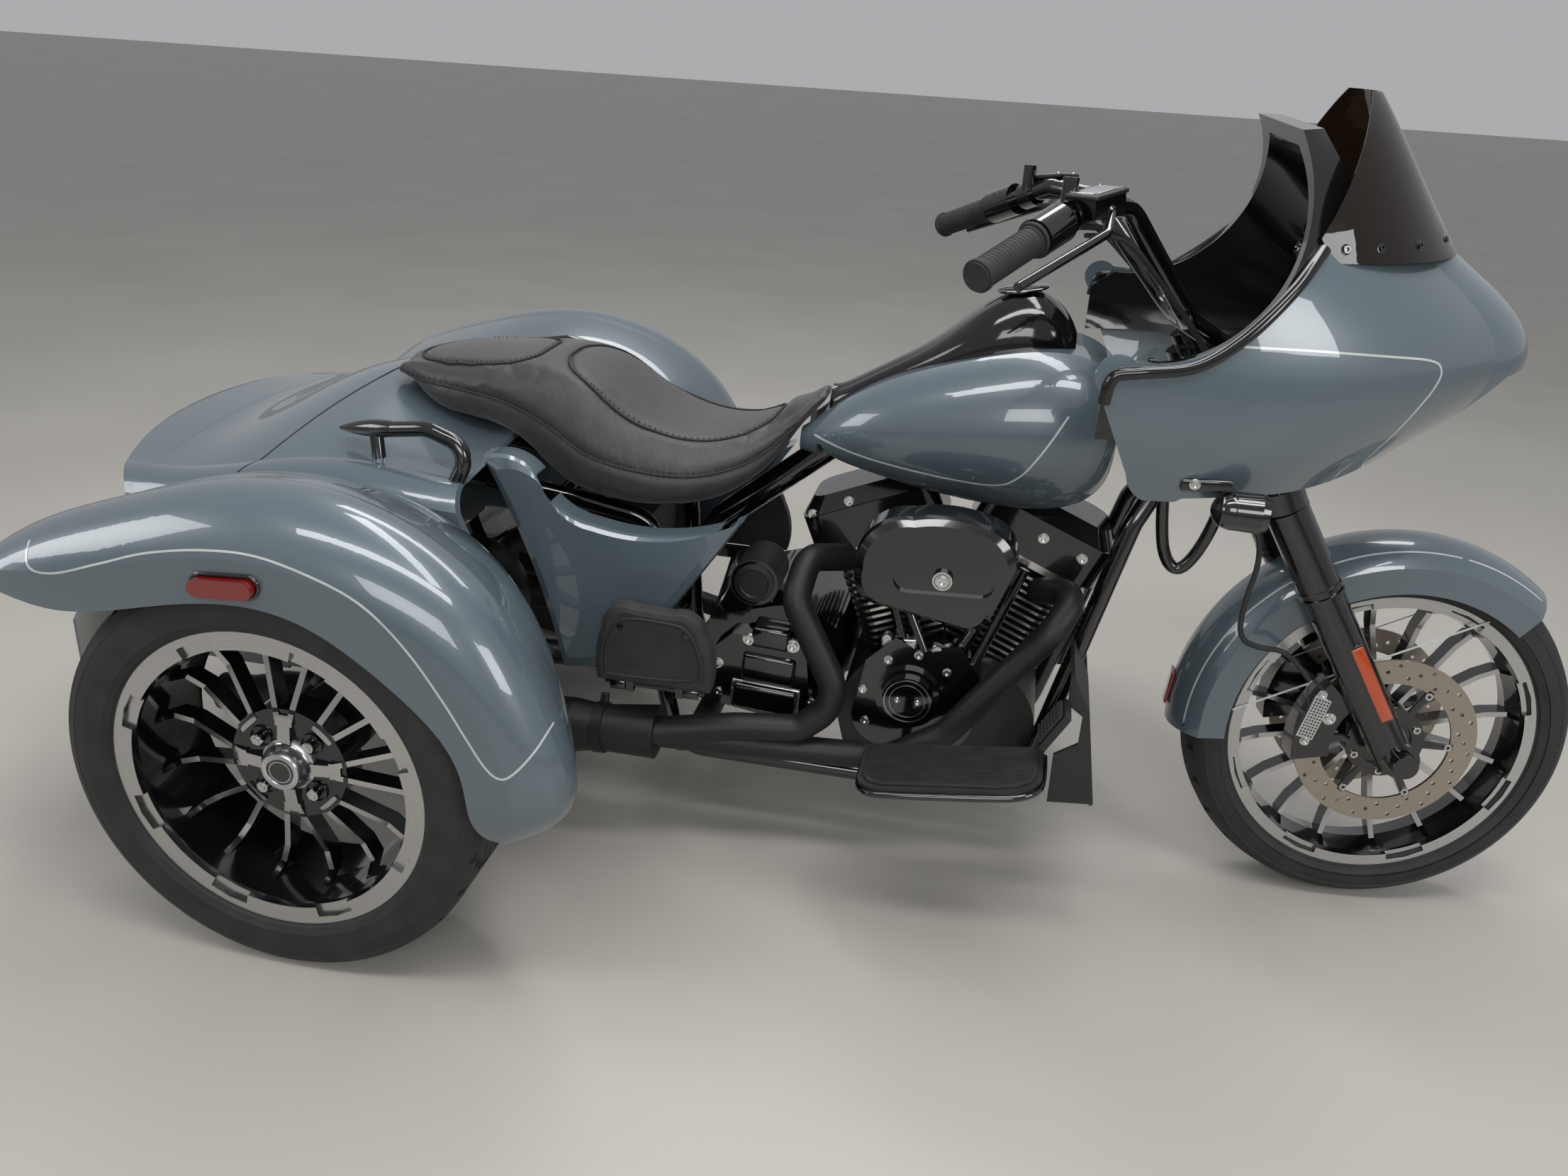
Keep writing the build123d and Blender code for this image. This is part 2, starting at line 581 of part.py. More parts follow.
def air_cleaner():
    shape = outline(
        (-58, 604), ((-38, 668), (26, 696)), ((84, 704), (139, 696)), ((180, 672), (194, 632)),
        (165, 546), ((150, 524), (118, 521)), (-14, 544), ((-48, 560), (-58, 604)))
    cover = side_plate(shape, AIR_FACE_Y + 20, AIR_BACK_Y) + rounded_off(
        shape, (72, 610), AIR_FACE_Y + 20, AIR_FACE_Y)
    slot = Pos(84, AIR_FACE_Y, 602) * Rot(90, 0, 0) * extrude(
        Rot(0, 0, 3) * SlotOverall(158, 46), 7, both=True)
    boss = Pos(82, AIR_FACE_Y + 7, 604) * Rot(90, 0, 0) * Cylinder(
        15, 9, align=(Align.CENTER, Align.CENTER, Align.MIN))
    duct = rod((CRANK[0], -50, 575), (CRANK[0], AIR_BACK_Y - 1, 600), 32)
    filter_pan = Pos(86, AIR_BACK_Y, 606) * Rot(-90, 0, 0) * Cylinder(
        74, 26, align=(Align.CENTER, Align.CENTER, Align.MIN))
    pan = (duct + filter_pan) - parts["cylinders"] - parts["rocker_covers"]
    parts["air_cleaner"] = (cover - slot) + boss + pan


PIPE_R = 23.0
MUFFLER_Y = 285.0
MUFFLER_Z = 252.0
MUFFLER_DROP = 3.6
MUFFLER_R = 47.0


def exhaust():
    front = bent_bar([(236, -70, 520), (300, -150, 556), (262, -196, 500), (112, -206, 292),
                      (20, -216, 236), (-250, -246, 238), (-395, -270, 246)],
                     [40, 50, 70, 60, 90], PIPE_R)
    rear = bent_bar([(-92, -70, 536), (-150, -150, 560), (-160, -200, 500), (-66, -226, 336),
                     (-132, -238, 280), (-240, -256, 276), (-395, -284, 256)],
                    [40, 45, 60, 42, 60], PIPE_R + 1)
    merge = loft([Plane(origin=(-372, -272, 252), x_dir=(0, 1, 0), z_dir=(-1, 0, 0)) * RectangleRounded(84, 92, 38),
                  Plane(origin=(-470, -MUFFLER_Y, MUFFLER_Z), x_dir=(0, 1, 0), z_dir=(-1, 0, 0)) * Circle(40)])
    headers = front + rear + merge
    bodies = []
    for side in (-1, 1):
        can = Pos(-470, side * MUFFLER_Y, MUFFLER_Z) * Rot(0, -90 - MUFFLER_DROP, 0) * turned(outline(
            (0, 0), (40, 0), (MUFFLER_R, 46), (MUFFLER_R, 600), (34, 660), (34, 720), (29, 720),
            (29, 640), (0, 640)))
        bodies.append(can)
    link = bent_bar([(-334, -262, 240), (-322, -170, 214), (-322, 196, 214), (-396, 278, 240),
                     (-469, MUFFLER_Y, MUFFLER_Z)], [60, 60, 40], 22)
    parts["mufflers"] = group(*bodies)
    parts["exhaust_headers"] = (headers + link) - parts["mufflers"] - parts["cylinders"] - parts["rocker_covers"]


# Fuel tank and console: (x, bottom, top, half width)
TANK = (
    (-192, 714, 752, 62), (-120, 704, 812, 108), (0, 684, 878, 146), (120, 672, 918, 164),
    (225, 674, 932, 166), (290, 694, 914, 146), (322, 748, 866, 104),
)
CONSOLE = (
    (-150, 770, 822, 30), (-60, 830, 868, 42), (25, 868, 925, 56), (95, 888, 984, 68),
    (155, 894, 1010, 68), (205, 894, 994, 60), (240, 884, 948, 46),
)


def cross_section(x, face):
    return Plane(origin=(x, 0, 0), x_dir=(0, 1, 0), z_dir=(1, 0, 0)) * face


def tank_section(x, low, high, half):
    middle = low + 0.46 * (high - low)
    return cross_section(x, outline(
        (-0.55 * half, low), (0.55 * half, low), ((half, middle), (0.55 * half, high)),
        (-0.55 * half, high), ((-half, middle), (-0.55 * half, low))))


def tank():
    shell = loft([tank_section(*row) for row in TANK])
    tunnel = side_plate(outline((-220, 600), (360, 600), (360, 852), (-220, 772)), -34, 34)
    engine_room = side_plate(outline((-160, 600), (360, 600), (360, 738), (-160, 738)), -88, 88)
    shell = shell - tunnel - engine_room
    console = loft([cross_section(x, outline(
        (-half, low), (half, low), ((half * 0.95, (low + 2 * high) / 3), (half * 0.55, high - 5)),
        ((0, high), (-half * 0.55, high - 5)), ((-half * 0.95, (low + 2 * high) / 3), (-half, low))))
        for x, low, high, half in CONSOLE])
    parts["fuel_tank"] = shell
    parts["tank_console"] = console - shell - tunnel


# Seat: (x, bottom at the sides, bottom at the middle, top, half width)
SEAT = (
    (-158, 806, 807, 826, 34), (-210, 738, 746, 786, 84), (-270, 664, 690, 746, 128),
    (-340, 628, 652, 730, 166), (-440, 612, 644, 748, 178), (-540, 620, 654, 806, 172),
    (-620, 662, 684, 828, 162), (-690, 710, 718, 827, 152), (-760, 728, 734, 822, 142),
    (-850, 750, 758, 811, 118), (-922, 768, 771, 792, 72),
)


def seat():
    sections = []
    for x, low, middle_low, high, half in SEAT:
        middle = low + 0.5 * (high - low)
        sections.append(cross_section(x, outline(
            (-0.82 * half, low), ((0, middle_low), (0.82 * half, low)), ((half, middle), (0.72 * half, high - 9)),
            ((0, high), (-0.72 * half, high - 9)), ((-half, middle), (-0.82 * half, low)))))
    parts["seat"] = loft(sections)


# Rear body: a tub between the fenders, with the trunk behind the seat.
# (x, floor, side top, centre top, half width at the floor, half width at the shoulder)
BODY = (
    (-570, 352, 650, 690, 250, 238), (-700, 345, 676, 704, 412, 398), (-830, 345, 688, 730, 420, 402),
    (-955, 345, 680, 764, 420, 398), (-1080, 345, 652, 728, 420, 390), (-1230, 350, 628, 670, 418, 378),
    (-1400, 356, 604, 618, 414, 364),
)
# The tail in plan: half width of the sides, then points round a corner to the middle
TAIL_PLAN = ((-1150.0, 460.0), (-1236.0, 398.0), (-1298.0, 300.0), (TAIL_X, 0.0))
LID_FRONT_X = -955.0
LID_ARC_R = 730.0
LID_LINE = ((-940.0, 690.0), (-1420.0, 552.0))
SEAM = 5.0
TRUNK_WALL_X = -975.0
TRUNK_WALL_TOP = 655.0


def body_section(x, low, side_top, centre_top, half_low, half_top, inset=0.0):
    low, side_top, centre_top = low + inset, side_top - inset, centre_top - inset
    half_low, half_top = half_low - inset, half_top - inset
    middle = low + 0.55 * (side_top - low)
    return cross_section(x, outline(
        (-half_low + 18, low), (half_low - 18, low), (half_low, low + 40), (half_low, middle),
        (half_top, side_top - 14), ((half_top - 20, side_top + 8), (half_top - 62, side_top + 18)),
        ((0, centre_top), (62 - half_top, side_top + 18)),
        ((20 - half_top, side_top + 8), (-half_top, side_top - 14)),
        (-half_low, middle), (-half_low, low + 40)))


def tail_plan(inset=0.0):
    """The body's plan from the seat back, with its bowed tail."""
    (side_x, half), (corner_x, corner_y), (end_x, end_y), (mid_x, _) = TAIL_PLAN
    face = outline(
        (-400, -half), (side_x, -half), ((corner_x, -corner_y), (end_x, -end_y)),
        ((mid_x, 0), (end_x, end_y)), ((corner_x, corner_y), (side_x, half)), (-400, half))
    if inset:
        face = offset(face, amount=-inset)
    return extrude(Pos(0, 0, 200) * face, 800)


VALANCE_X = -1400.0
# The pad that takes a licence plate's four screws
PAD_HALF, PAD_THICK = 100.0, 4.0
PLATE_HOLES_Y, PLATE_HOLES_Z, PLATE_HOLE_R = 146.0, 70.0, 3.5


def rear_body():
    """The tub and its lid: one closed form, walled, parted along the lid's seam."""
    ahead = side_plate(outline((-688, 722), (-566, 340), (-300, 340), (-300, 1000), (-688, 1000)), -500, 500)
    outer = (loft([body_section(*row) for row in BODY]) & tail_plan()) - ahead
    inner_rows = ((BODY[0][0] + 40,) + BODY[0][1:],) + BODY
    inner = loft([body_section(*row, inset=BODY_WALL) for row in inner_rows]) & tail_plan(BODY_WALL)
    (front_x, front_z), (back_x, back_z) = LID_LINE
    regions = []
    for grown in (0.0, SEAM):
        arc = Pos(LID_FRONT_X - LID_ARC_R, 0, 600) * Rot(0, 0, 180) * Cylinder(LID_ARC_R + grown, 900)
        above = side_plate(outline((-400, front_z + 180 - grown), (front_x, front_z - grown),
                                   (back_x, back_z - grown), (back_x, 1000), (-400, 1000)), -600, 600)
        regions.append(arc & above)
    lid = (outer & regions[0]) - inner
    bulkhead = inner & box_at((TRUNK_WALL_X - BODY_WALL, TRUNK_WALL_X), (-500, 500), (300, TRUNK_WALL_TOP))
    tub = (outer - regions[1]) - inner
    under = box_at((TRUNK_WALL_X, -520), (-405, 405), (300, 357))
    axle_way = Pos(REAR_X, 0, REAR_TYRE_R) * Rot(90, 0, 0) * Cylinder(66, 1000)
    parts["rear_body"] = tub + bulkhead - under - axle_way
    parts["trunk_lid"] = lid
    arc_out = [(-1262, -530), ((VALANCE_X, 0), (-1262, 530))]
    arc_in = [(-1257, 530), ((VALANCE_X + 5, 0), (-1257, -530))]
    bow = extrude(Pos(0, 0, 316) * outline(arc_out[0], arc_out[1], arc_in[0], arc_in[1]), 134)
    pad = box_at((VALANCE_X - PAD_THICK, VALANCE_X + 6), (-PAD_HALF, PAD_HALF), (324, 442))
    for y in (-PLATE_HOLES_Y / 2, PLATE_HOLES_Y / 2):
        for z in (-PLATE_HOLES_Z / 2, PLATE_HOLES_Z / 2):
            hole = Pos(VALANCE_X, y, 383 + z) * Rot(0, 90, 0) * Cylinder(PLATE_HOLE_R, 60)
            bow, pad = bow - hole, pad - hole
    parts["rear_valance"] = (bow + pad) - outer
    return outer


# Rear fender, as sections across it. The first five stand round the axle at an angle from
# straight ahead; the others are upright, behind it. Heights are from the axle's centre:
# (x or angle, edge, crest, crest y, valley, valley y, side y)
FENDER_ROUND = (
    (-5.0, 342, 386, 634, 348, 556, 702), (14.0, 320, 448, 622, 362, 462, 718),
    (40.0, 298, 446, 607, 372, 430, 719), (65.0, 295, 440, 592, 370, 414, HALF_WIDTH),
    (90.0, 296, 432, 586, 372, 408, HALF_WIDTH),
)
FENDER_TAIL = (
    (-1000.0, 268, 404, 592, 364, 410, HALF_WIDTH), (-1120.0, 248, 366, 600, 326, 424, 720),
    (-1220.0, 262, 322, 610, 290, 466, 712), (-1308.0, 230, 250, 626, 240, 556, 682),
)


def fender_section(plane, edge, crest, crest_y, valley, valley_y, side_y):
    """A thin arch: up the outer side, over the crest and down to the valley by the body."""
    t = SHEET
    shoulder = edge + 0.5 * (crest - edge)
    brow_y, brow = crest_y + 0.74 * (side_y - crest_y), shoulder + 0.76 * (crest - shoulder)
    slope_y, slope = (crest_y + valley_y) / 2, valley + 0.62 * (crest - valley)
    return plane * outline(
        (-side_y, edge), (-side_y, shoulder), ((-brow_y, brow), (-crest_y, crest)),
        ((-slope_y, slope), (-valley_y, valley)), (-valley_y, valley - t),
        ((-slope_y, slope - t), (-crest_y, crest - t)),
        ((t - brow_y, brow - t), (t - side_y, shoulder)), (t - side_y, edge))


def fenders(body):
    sections = []
    for angle, *row in FENDER_ROUND:
        turn = radians(angle)
        plane = Plane(origin=(REAR_X, 0, REAR_TYRE_R), x_dir=(0, 1, 0), z_dir=(sin(turn), 0, -cos(turn)))
        sections.append(fender_section(plane, *row))
    for x, *row in FENDER_TAIL:
        plane = Plane(origin=(x, 0, REAR_TYRE_R), x_dir=(0, 1, 0), z_dir=(1, 0, 0))
        sections.append(fender_section(plane, *row))
    right = loft(sections) - body
    parts["fender_right"] = right
    parts["fender_left"] = other_side(right)


# Side cover's outline in X and Z, from its front tip round by the bottom and the seam
def side_covers(body):
    shape = outline(
        (-246, 642), ((-300, 560), (-373, 452)), ((-440, 372), (-552, 334)),
        ((-606, 520), (-688, 702)), ((-640, 707), (-596, 682)), ((-560, 630), (-500, 606)),
        ((-400, 598), (-246, 642)))
    cover = side_plate(shape, -236, -198) + rounded_off(shape, (-480, 540), -236, -250)
    hollow = side_plate(shrunk(shape, (-480, 540), 0.94), -244, -190)
    cover = cover - hollow - body - parts["seat"]
    parts["side_covers"] = both_sides(cover)


# Grab rail's blade: (x, y, z, half width, half height)
BLADE = ((-790, -318, 757, 11, 11), (-850, -306, 750, 15, 14), (-905, -296, 742, 4, 3))


def grab_rails(body):
    points = [(-706, -340, 655), (-664, -334, 744), (-740, -324, 766), (-801, -316, 756)]
    rail = bent_bar(points, [34, 60], 13)
    blade = loft([Plane(origin=(x, y, z), x_dir=(0, 1, 0), z_dir=(1, 0, 0)) * Ellipse(wide, tall)
                  for x, y, z, wide, tall in BLADE])
    foot = rod((-836, -310, 750), (-826, -322, 690), 11)
    parts["grab_rails"] = both_sides((rail + blade + foot - body).solids().sort_by(Axis.Z)[-1])


# Footboards
BOARD_TILT = 8.0
BOARD_X = (-12.0, 278.0)
BOARD_Y = (-264.0, -402.0)
BOARD_Z = 290.0
# Each arm's (x, y and height of its elbow, lift of its end)
BOARD_ARMS = ((40, -246, 188, -20), (220, -216, 204, 5))


def rider_boards():
    shape = outline(
        (BOARD_X[0], BOARD_Y[0]), (BOARD_X[1], BOARD_Y[0]), (BOARD_X[1], BOARD_Y[0] - 90),
        ((BOARD_X[1] - 16, BOARD_Y[1] + 18), (BOARD_X[1] - 66, BOARD_Y[1])),
        (BOARD_X[0] + 36, BOARD_Y[1]), ((BOARD_X[0] + 10, BOARD_Y[1] + 12), (BOARD_X[0], BOARD_Y[1] + 44)))
    middle = sum(BOARD_X) / 2
    flat = Pos(-middle, 0, 0) * extrude(shape, 16)
    board = Pos(middle, 0, BOARD_Z) * Rot(0, -BOARD_TILT, 0) * flat
    arms = [bent_bar([(x, -136, 150), (x, elbow_y, elbow_z), (x, -270, BOARD_Z + lift), (x, -350, BOARD_Z + lift)],
                     [30, 14], 9) for x, elbow_y, elbow_z, lift in BOARD_ARMS]
    arms = [arm - board - parts["frame_cradle"] for arm in arms]
    parts["rider_boards"] = both_sides(board)
    parts["rider_board_arms"] = both_sides(group(*arms))


PASSENGER_HINGE = (-364.0, -318.0, 366.0)


def passenger_boards():
    """Folding boards, stored upright against the side as the trike is parked."""
    hx, hy, hz = PASSENGER_HINGE
    shape = outline(
        (hx - 96, hz + 10), (hx + 96, hz + 10), ((hx + 100, hz + 60), (hx + 84, hz + 112)),
        ((hx + 66, hz + 138), (hx + 30, hz + 142)), (hx - 36, hz + 144), ((hx - 74, hz + 138), (hx - 88, hz + 106)),
        ((hx - 98, hz + 60), (hx - 96, hz + 10)))
    board = side_plate(shape, hy - 14, hy + 6) + rounded_off(shape, (hx, hz + 76), hy - 14, hy - 24)
    ears = [Pos(hx + x, hy - 2, hz) * Rot(0, 90, 0) * (Cylinder(10, 24) - Cylinder(5.2, 30)) + \
            box_at((hx + x - 12, hx + x + 12), (hy - 10, hy + 5), (hz + 5, hz + 16)) -
            Pos(hx + x, hy - 2, hz) * Rot(0, 90, 0) * Cylinder(5.2, 30) for x in (-62, 62)]
    right = board + ears
    parts["passenger_board_right"] = right
    parts["passenger_board_left"] = other_side(right)
    pin = Pos(hx, hy - 2, hz) * Rot(0, 90, 0) * Cylinder(4.9, 170)
    fork = [box_at((hx + x - 6, hx + x + 6), (hy - 9, hy + 30), (hz - 12, hz + 7)) for x in (-42, 42)]
    plate = box_at((hx - 48, hx + 48), (hy + 18, hy + 30), (hz - 12, hz + 7))
    arm = rod((hx, hy + 28, hz - 3), (hx, -142, 300), 14)
    bracket = pin + fork + plate + arm
    parts["passenger_brackets"] = both_sides(bracket)


def foot_controls():
    """Brake pedal on the right, shift lever on the left."""
    pad = Pos(284, -300, 392) * Rot(0, -62, 0) * Box(70, 62, 12)
    arm = bent_bar([(286, -296, 388), (290, -232, 372), (252, -228, 222)], 24, 8)
    pivot = rod((252, -141, 222), (252, -238, 222), 11)
    brake = pad + arm + pivot
    toe = Pos(310, 274, 362) * Rot(90, 0, 0) * Cylinder(11, 74)
    lever = bent_bar([(310, 237, 362), (200, 239, 334), (20, 239, 356)], 60, 7)
    heel = Pos(20, 272, 356) * Rot(90, 0, 0) * Cylinder(11, 74)
    stub = rod((200, CASE_HALF_Y, 332), (200, 240, 332), 10)
    pedals = group(brake, toe + lever + heel + stub)
    parts["foot_controls"] = pedals - parts["frame_cradle"]


def splash_panels():
    """The dark guards in front of the footboards."""
    face = side_plate(outline((306, 462), (338, 400), (368, 234), (362, 229), (332, 398), (300, 459)), -262, -120)
    # The side of each guard is cut away round the pedals
    flank = side_plate(outline((306, 462), (338, 400), (368, 234), (294, 226), (292, 316), (328, 342), (328, 392),
                               (302, 410), (300, 456)), -262, -256)
    parts["splash_panels"] = both_sides(face + flank - parts["frame_cradle"])


# Fairing: outlines at five heights
# (height, nose x, shoulder (x, y), side (x, y), rear corner (x, y))
FAIRING = (
    (800, 736, (690, 126), (545, 290), (270, 372)),
    (880, 822, (758, 140), (586, 304), (255, 392)),
    (985, 903, (824, 140), (600, 312), (248, 404)),
    (1080, 832, (762, 132), (570, 296), (260, 386)),
    (1170, 730, (672, 126), (520, 272), (290, 356)),
)
# The dark hood inside it ends in a narrow top, and its hollow a little lower
HOOD_TOP = (1292, 560, (540, 96), (522, 176), (470, 226))
HOLLOW_TOP = (1264, 540, (528, 56), (508, 116), (462, 176))
HOOD_WALL = 40.0
DASH_X = 592.0
FAIRING_SIDE = (
    (318, 838), ((330, 812), (400, 806)), (491, 811), ((640, 826), (741, 866)), (852, 968),
    (950, 986), (762, 1136), (640, 1166), (538, 1166), ((500, 1110), (440, 1046)),
    ((380, 1008), (304, 998)), ((262, 996), (262, 958)),
)


def level_section(z, nose, shoulder, side, rear, inset=0.0):
    face = outline(
        (rear[0], inset - rear[1]), ((side[0], inset - side[1]), (shoulder[0] - inset, inset - shoulder[1])),
        ((nose - inset, 0), (shoulder[0] - inset, shoulder[1] - inset)),
        ((side[0], side[1] - inset), (rear[0], rear[1] - inset)))
    return Pos(0, 0, z) * face


# Windscreen at four heights: (height, nose x, end x, end y)
SCREEN = ((1128, 768, 508, 288), (1168, 738, 530, 270), (1254, 675, 564, 208), (1338, 614, 588, 82))


def screen_section(nose, end_x, end_y):
    """A sheet bowed round the nose, seen from above."""
    t = SHEET
    deep = nose - end_x
    side_x, side_y = end_x + 0.6 * deep, 0.72 * end_y
    brow_x, brow_y = nose - 0.055 * deep, 0.26 * end_y
    return outline(
        (end_x, -end_y), ((side_x, -side_y), (brow_x, -brow_y)), ((nose, 0), (brow_x, brow_y)),
        ((side_x, side_y), (end_x, end_y)), (end_x, end_y - t),
        ((side_x - t, side_y - t), (brow_x - t, brow_y)), ((nose - t, 0), (brow_x - t, -brow_y)),
        ((side_x - t, t - side_y), (end_x, t - end_y)))


def fairing():
    outer = loft([level_section(*row) for row in FAIRING])
    inner_rows = [(z, nose, shoulder, side, (rear[0] - 30, rear[1])) for z, nose, shoulder, side, rear in FAIRING]
    inner_rows[0] = (FAIRING[0][0] - 1,) + inner_rows[0][1:]
    inner_rows[-1] = (FAIRING[-1][0] + 1,) + inner_rows[-1][1:]
    inner = loft([level_section(*row, inset=BODY_WALL) for row in inner_rows])
    profile = side_plate(outline(FAIRING_SIDE[0], *FAIRING_SIDE[1:]), -500, 500)
    shell = (outer - inner) & profile
    parts["fairing_outer"] = shell
    # The rider's side: a dark hood with a hollow for the bars, and its raised rim
    core = loft([level_section(*row, inset=BODY_WALL + 3.0) for row in FAIRING + (HOOD_TOP,)])
    rider_side = side_plate(outline(
        (268, 962), (306, 992), ((390, 1008), (452, 1052)), ((500, 1130), (484, 1288)), (516, 1290),
        ((560, 1230), (612, 1160)), (650, 1130), (640, 960), (560, 905), (268, 885)), -500, 500)
    hollow = loft([level_section(*row, inset=HOOD_WALL) for row in FAIRING[1:]] + [level_section(*HOLLOW_TOP)])
    hollow = hollow & box_at((100, DASH_X), (-500, 500), (870, 1400))
    parts["fairing_inner"] = (core & rider_side) - hollow - shell
    screen = [Pos(0, 0, row[0]) * screen_section(*row[1:]) for row in SCREEN]
    parts["windscreen"] = loft(screen) - outer - parts["fairing_inner"]
    lamp = side_plate(outline((690, 872), (748, 876), (846, 972), (846, 1000), (690, 1000)), -180, 180)
    lamp_room = loft([level_section(*row, inset=BODY_WALL + 1.0) for row in FAIRING[:3]])
    parts["headlamp"] = lamp & lamp_room
    signal = Rot(0, 90, 0) * turned(outline((0, -46), ((18, -38), (27, -14)), (28, 20), (24, 30), (0, 30)))
    place = Pos(485, -368, 800)
    stalk = rod((478, -366, 803), (452, -320, 828), 9)
    parts["turn_signals"] = both_sides(place * signal + (stalk - outer))
    mast = rod((HEAD_LOW[0] + 10, 0, 850), (690, 0, 900), 15) - rod(HEAD_LOW, HEAD_HIGH, 34)
    beam = rod((640, -190, 884), (640, 190, 884), 12)
    parts["fairing_bracket"] = (mast + beam) - parts["fairing_inner"] - parts["headlamp"]


# Tail lamp's lens on the end of the fender: (x, y, z, half width, half height)
TAIL_LAMP = ((-1304, -620, 566, 60, 19), (-1328, -619, 565, 53, 17), (-1346, -616, 563, 26, 8))


def lamps():
    lens = loft([cross_section(x, Pos(y, z) * Ellipse(wide, tall)) for x, y, z, wide, tall in TAIL_LAMP])
    parts["tail_lamps"] = both_sides(lens - parts["fender_right"])
    marker = Pos(-847, -HALF_WIDTH - 6, 649) * Rot(90, 0, 0) * extrude(
        Rot(0, 0, 4) * SlotOverall(94, 26), 10, both=True)
    outside = (marker - parts["fender_right"]).solids().sort_by(Axis.Y)[0]
    parts["marker_lamps"] = both_sides(outside)


def write_all():
    os.makedirs("parts", exist_ok=True)
    for name, shape in parts.items():
        export_step(Pos(CENTRE_SHIFT, 0, 0) * group(shape), "parts/" + name + ".step")


def build_all():
    rear_wheels()
    front_wheel()
    fork_legs()
    front_axle()
    triple_clamps()
    handlebar()
    grips()
    hand_controls()
    front_fender()
    front_calipers()
    frame()
    swingarm_and_axle()
    engine()
    air_cleaner()
    exhaust()
    tank()
    body = rear_body()
    fenders(body)
    seat()
    side_covers(body)
    grab_rails(body)
    rider_boards()
    passenger_boards()
    foot_controls()
    splash_panels()
    fairing()
    lamps()


if __name__ == "__main__":
    build_all()
    write_all()
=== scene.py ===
import bpy
import bmesh
import json
from functools import reduce
from math import atan2, cos, degrees, pi, radians, sin, tan
from mathutils import Matrix, Vector
from mathutils.bvhtree import BVHTree
from mathutils.kdtree import KDTree


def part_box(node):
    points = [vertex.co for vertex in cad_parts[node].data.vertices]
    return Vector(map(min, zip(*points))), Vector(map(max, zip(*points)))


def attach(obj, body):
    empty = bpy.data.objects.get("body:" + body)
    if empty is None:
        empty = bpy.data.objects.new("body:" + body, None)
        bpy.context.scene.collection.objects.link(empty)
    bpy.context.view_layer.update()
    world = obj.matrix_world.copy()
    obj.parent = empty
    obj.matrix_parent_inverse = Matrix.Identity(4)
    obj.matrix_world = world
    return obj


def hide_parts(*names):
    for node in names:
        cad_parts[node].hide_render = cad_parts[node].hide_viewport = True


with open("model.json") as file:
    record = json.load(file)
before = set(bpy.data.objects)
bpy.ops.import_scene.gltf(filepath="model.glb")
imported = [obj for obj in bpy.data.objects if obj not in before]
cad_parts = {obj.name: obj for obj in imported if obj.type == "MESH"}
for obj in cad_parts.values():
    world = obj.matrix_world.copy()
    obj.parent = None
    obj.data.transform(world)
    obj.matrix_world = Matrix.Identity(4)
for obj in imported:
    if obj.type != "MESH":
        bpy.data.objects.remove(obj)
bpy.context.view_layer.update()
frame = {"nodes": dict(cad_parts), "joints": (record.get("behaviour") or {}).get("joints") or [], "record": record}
NODES = frame["nodes"]
SLOT_OF = {sub["node"]: sub["material_slot"] for sub in frame["record"]["subparts"]}
BODY_OF = {node: body for body, nodes in frame["record"]["behaviour"]["bodies"].items() for node in nodes}
JOINTS = {joint["name"]: joint for joint in frame["joints"]}
MM = 0.001
# Frame x of the middle between the front and rear axles, in metres
MID_X = 0.124
# Each side's word and its way along y
SIDES = (("right", -1), ("left", 1))


# Shared tools of the modelling

def linear(code, alpha=1.0):
    """An sRGB hex colour as the linear values that a shader takes."""
    values = [int(code[i:i + 2], 16) / 255 for i in (1, 3, 5)]
    return [v / 12.92 if v <= 0.04045 else ((v + 0.055) / 1.055) ** 2.4 for v in values] + [alpha]


def add_node(tree, kind, inputs=(), **settings):
    """Adds one shader node; an input is a plain value or another node's output."""
    made = tree.nodes.new(kind)
    for name, value in settings.items():
        setattr(made, name, value)
    for key, value in dict(inputs).items():
        if isinstance(value, bpy.types.NodeSocket):
            tree.links.new(value, made.inputs[key])
        else:
            made.inputs[key].default_value = value
    return made


def maths(tree, how, *values):
    """One step of arithmetic on values or outputs."""
    return add_node(tree, "ShaderNodeMath", dict(enumerate(values)), operation=how).outputs[0]


def ranged(tree, value, low, high, start=0.0, end=1.0):
    """The value's place between start and end, brought to run from low to high."""
    return add_node(tree, "ShaderNodeMapRange", {
        "Value": value, "From Min": start, "From Max": end, "To Min": low, "To Max": high}).outputs[0]


def vector_maths(tree, how, *values):
    """One step of arithmetic on vectors; a length or a dot product comes out as one value."""
    made = add_node(tree, "ShaderNodeVectorMath", dict(enumerate(values)), operation=how)
    return made.outputs["Value" if how in ("DOT_PRODUCT", "LENGTH") else "Vector"]


def start_material(name, **finish):
    """A material with its shader's plain values set."""
    material = bpy.data.materials.new(name)
    material.use_nodes = True
    tree = material.node_tree
    shader = tree.nodes["Principled BSDF"]
    for key, value in finish.items():
        shader.inputs[key.replace("_", " ")].default_value = value
    return material, tree, shader


def surface_point(tree, scale=(1, 1, 1), turn=(0, 0, 0)):
    """Object coordinates in metres, turned and scaled."""
    where = add_node(tree, "ShaderNodeTexCoord")
    return add_node(tree, "ShaderNodeMapping", {"Vector": where.outputs["Object"], "Scale": scale,
                                                "Rotation": turn}).outputs[0]


def grain(tree, shader, size_mm, height_mm, detail=3.0, strength=1.0):
    """An all-over fine roughness of the surface, as moulding or casting leaves it."""
    noise = add_node(tree, "ShaderNodeTexNoise", {
        "Vector": surface_point(tree), "Scale": 1000.0 / size_mm, "Detail": detail})
    bump = add_node(tree, "ShaderNodeBump", {
        "Height": noise.outputs[0], "Strength": strength, "Distance": height_mm * MM})
    tree.links.new(bump.outputs[0], shader.inputs["Normal"])
    return noise


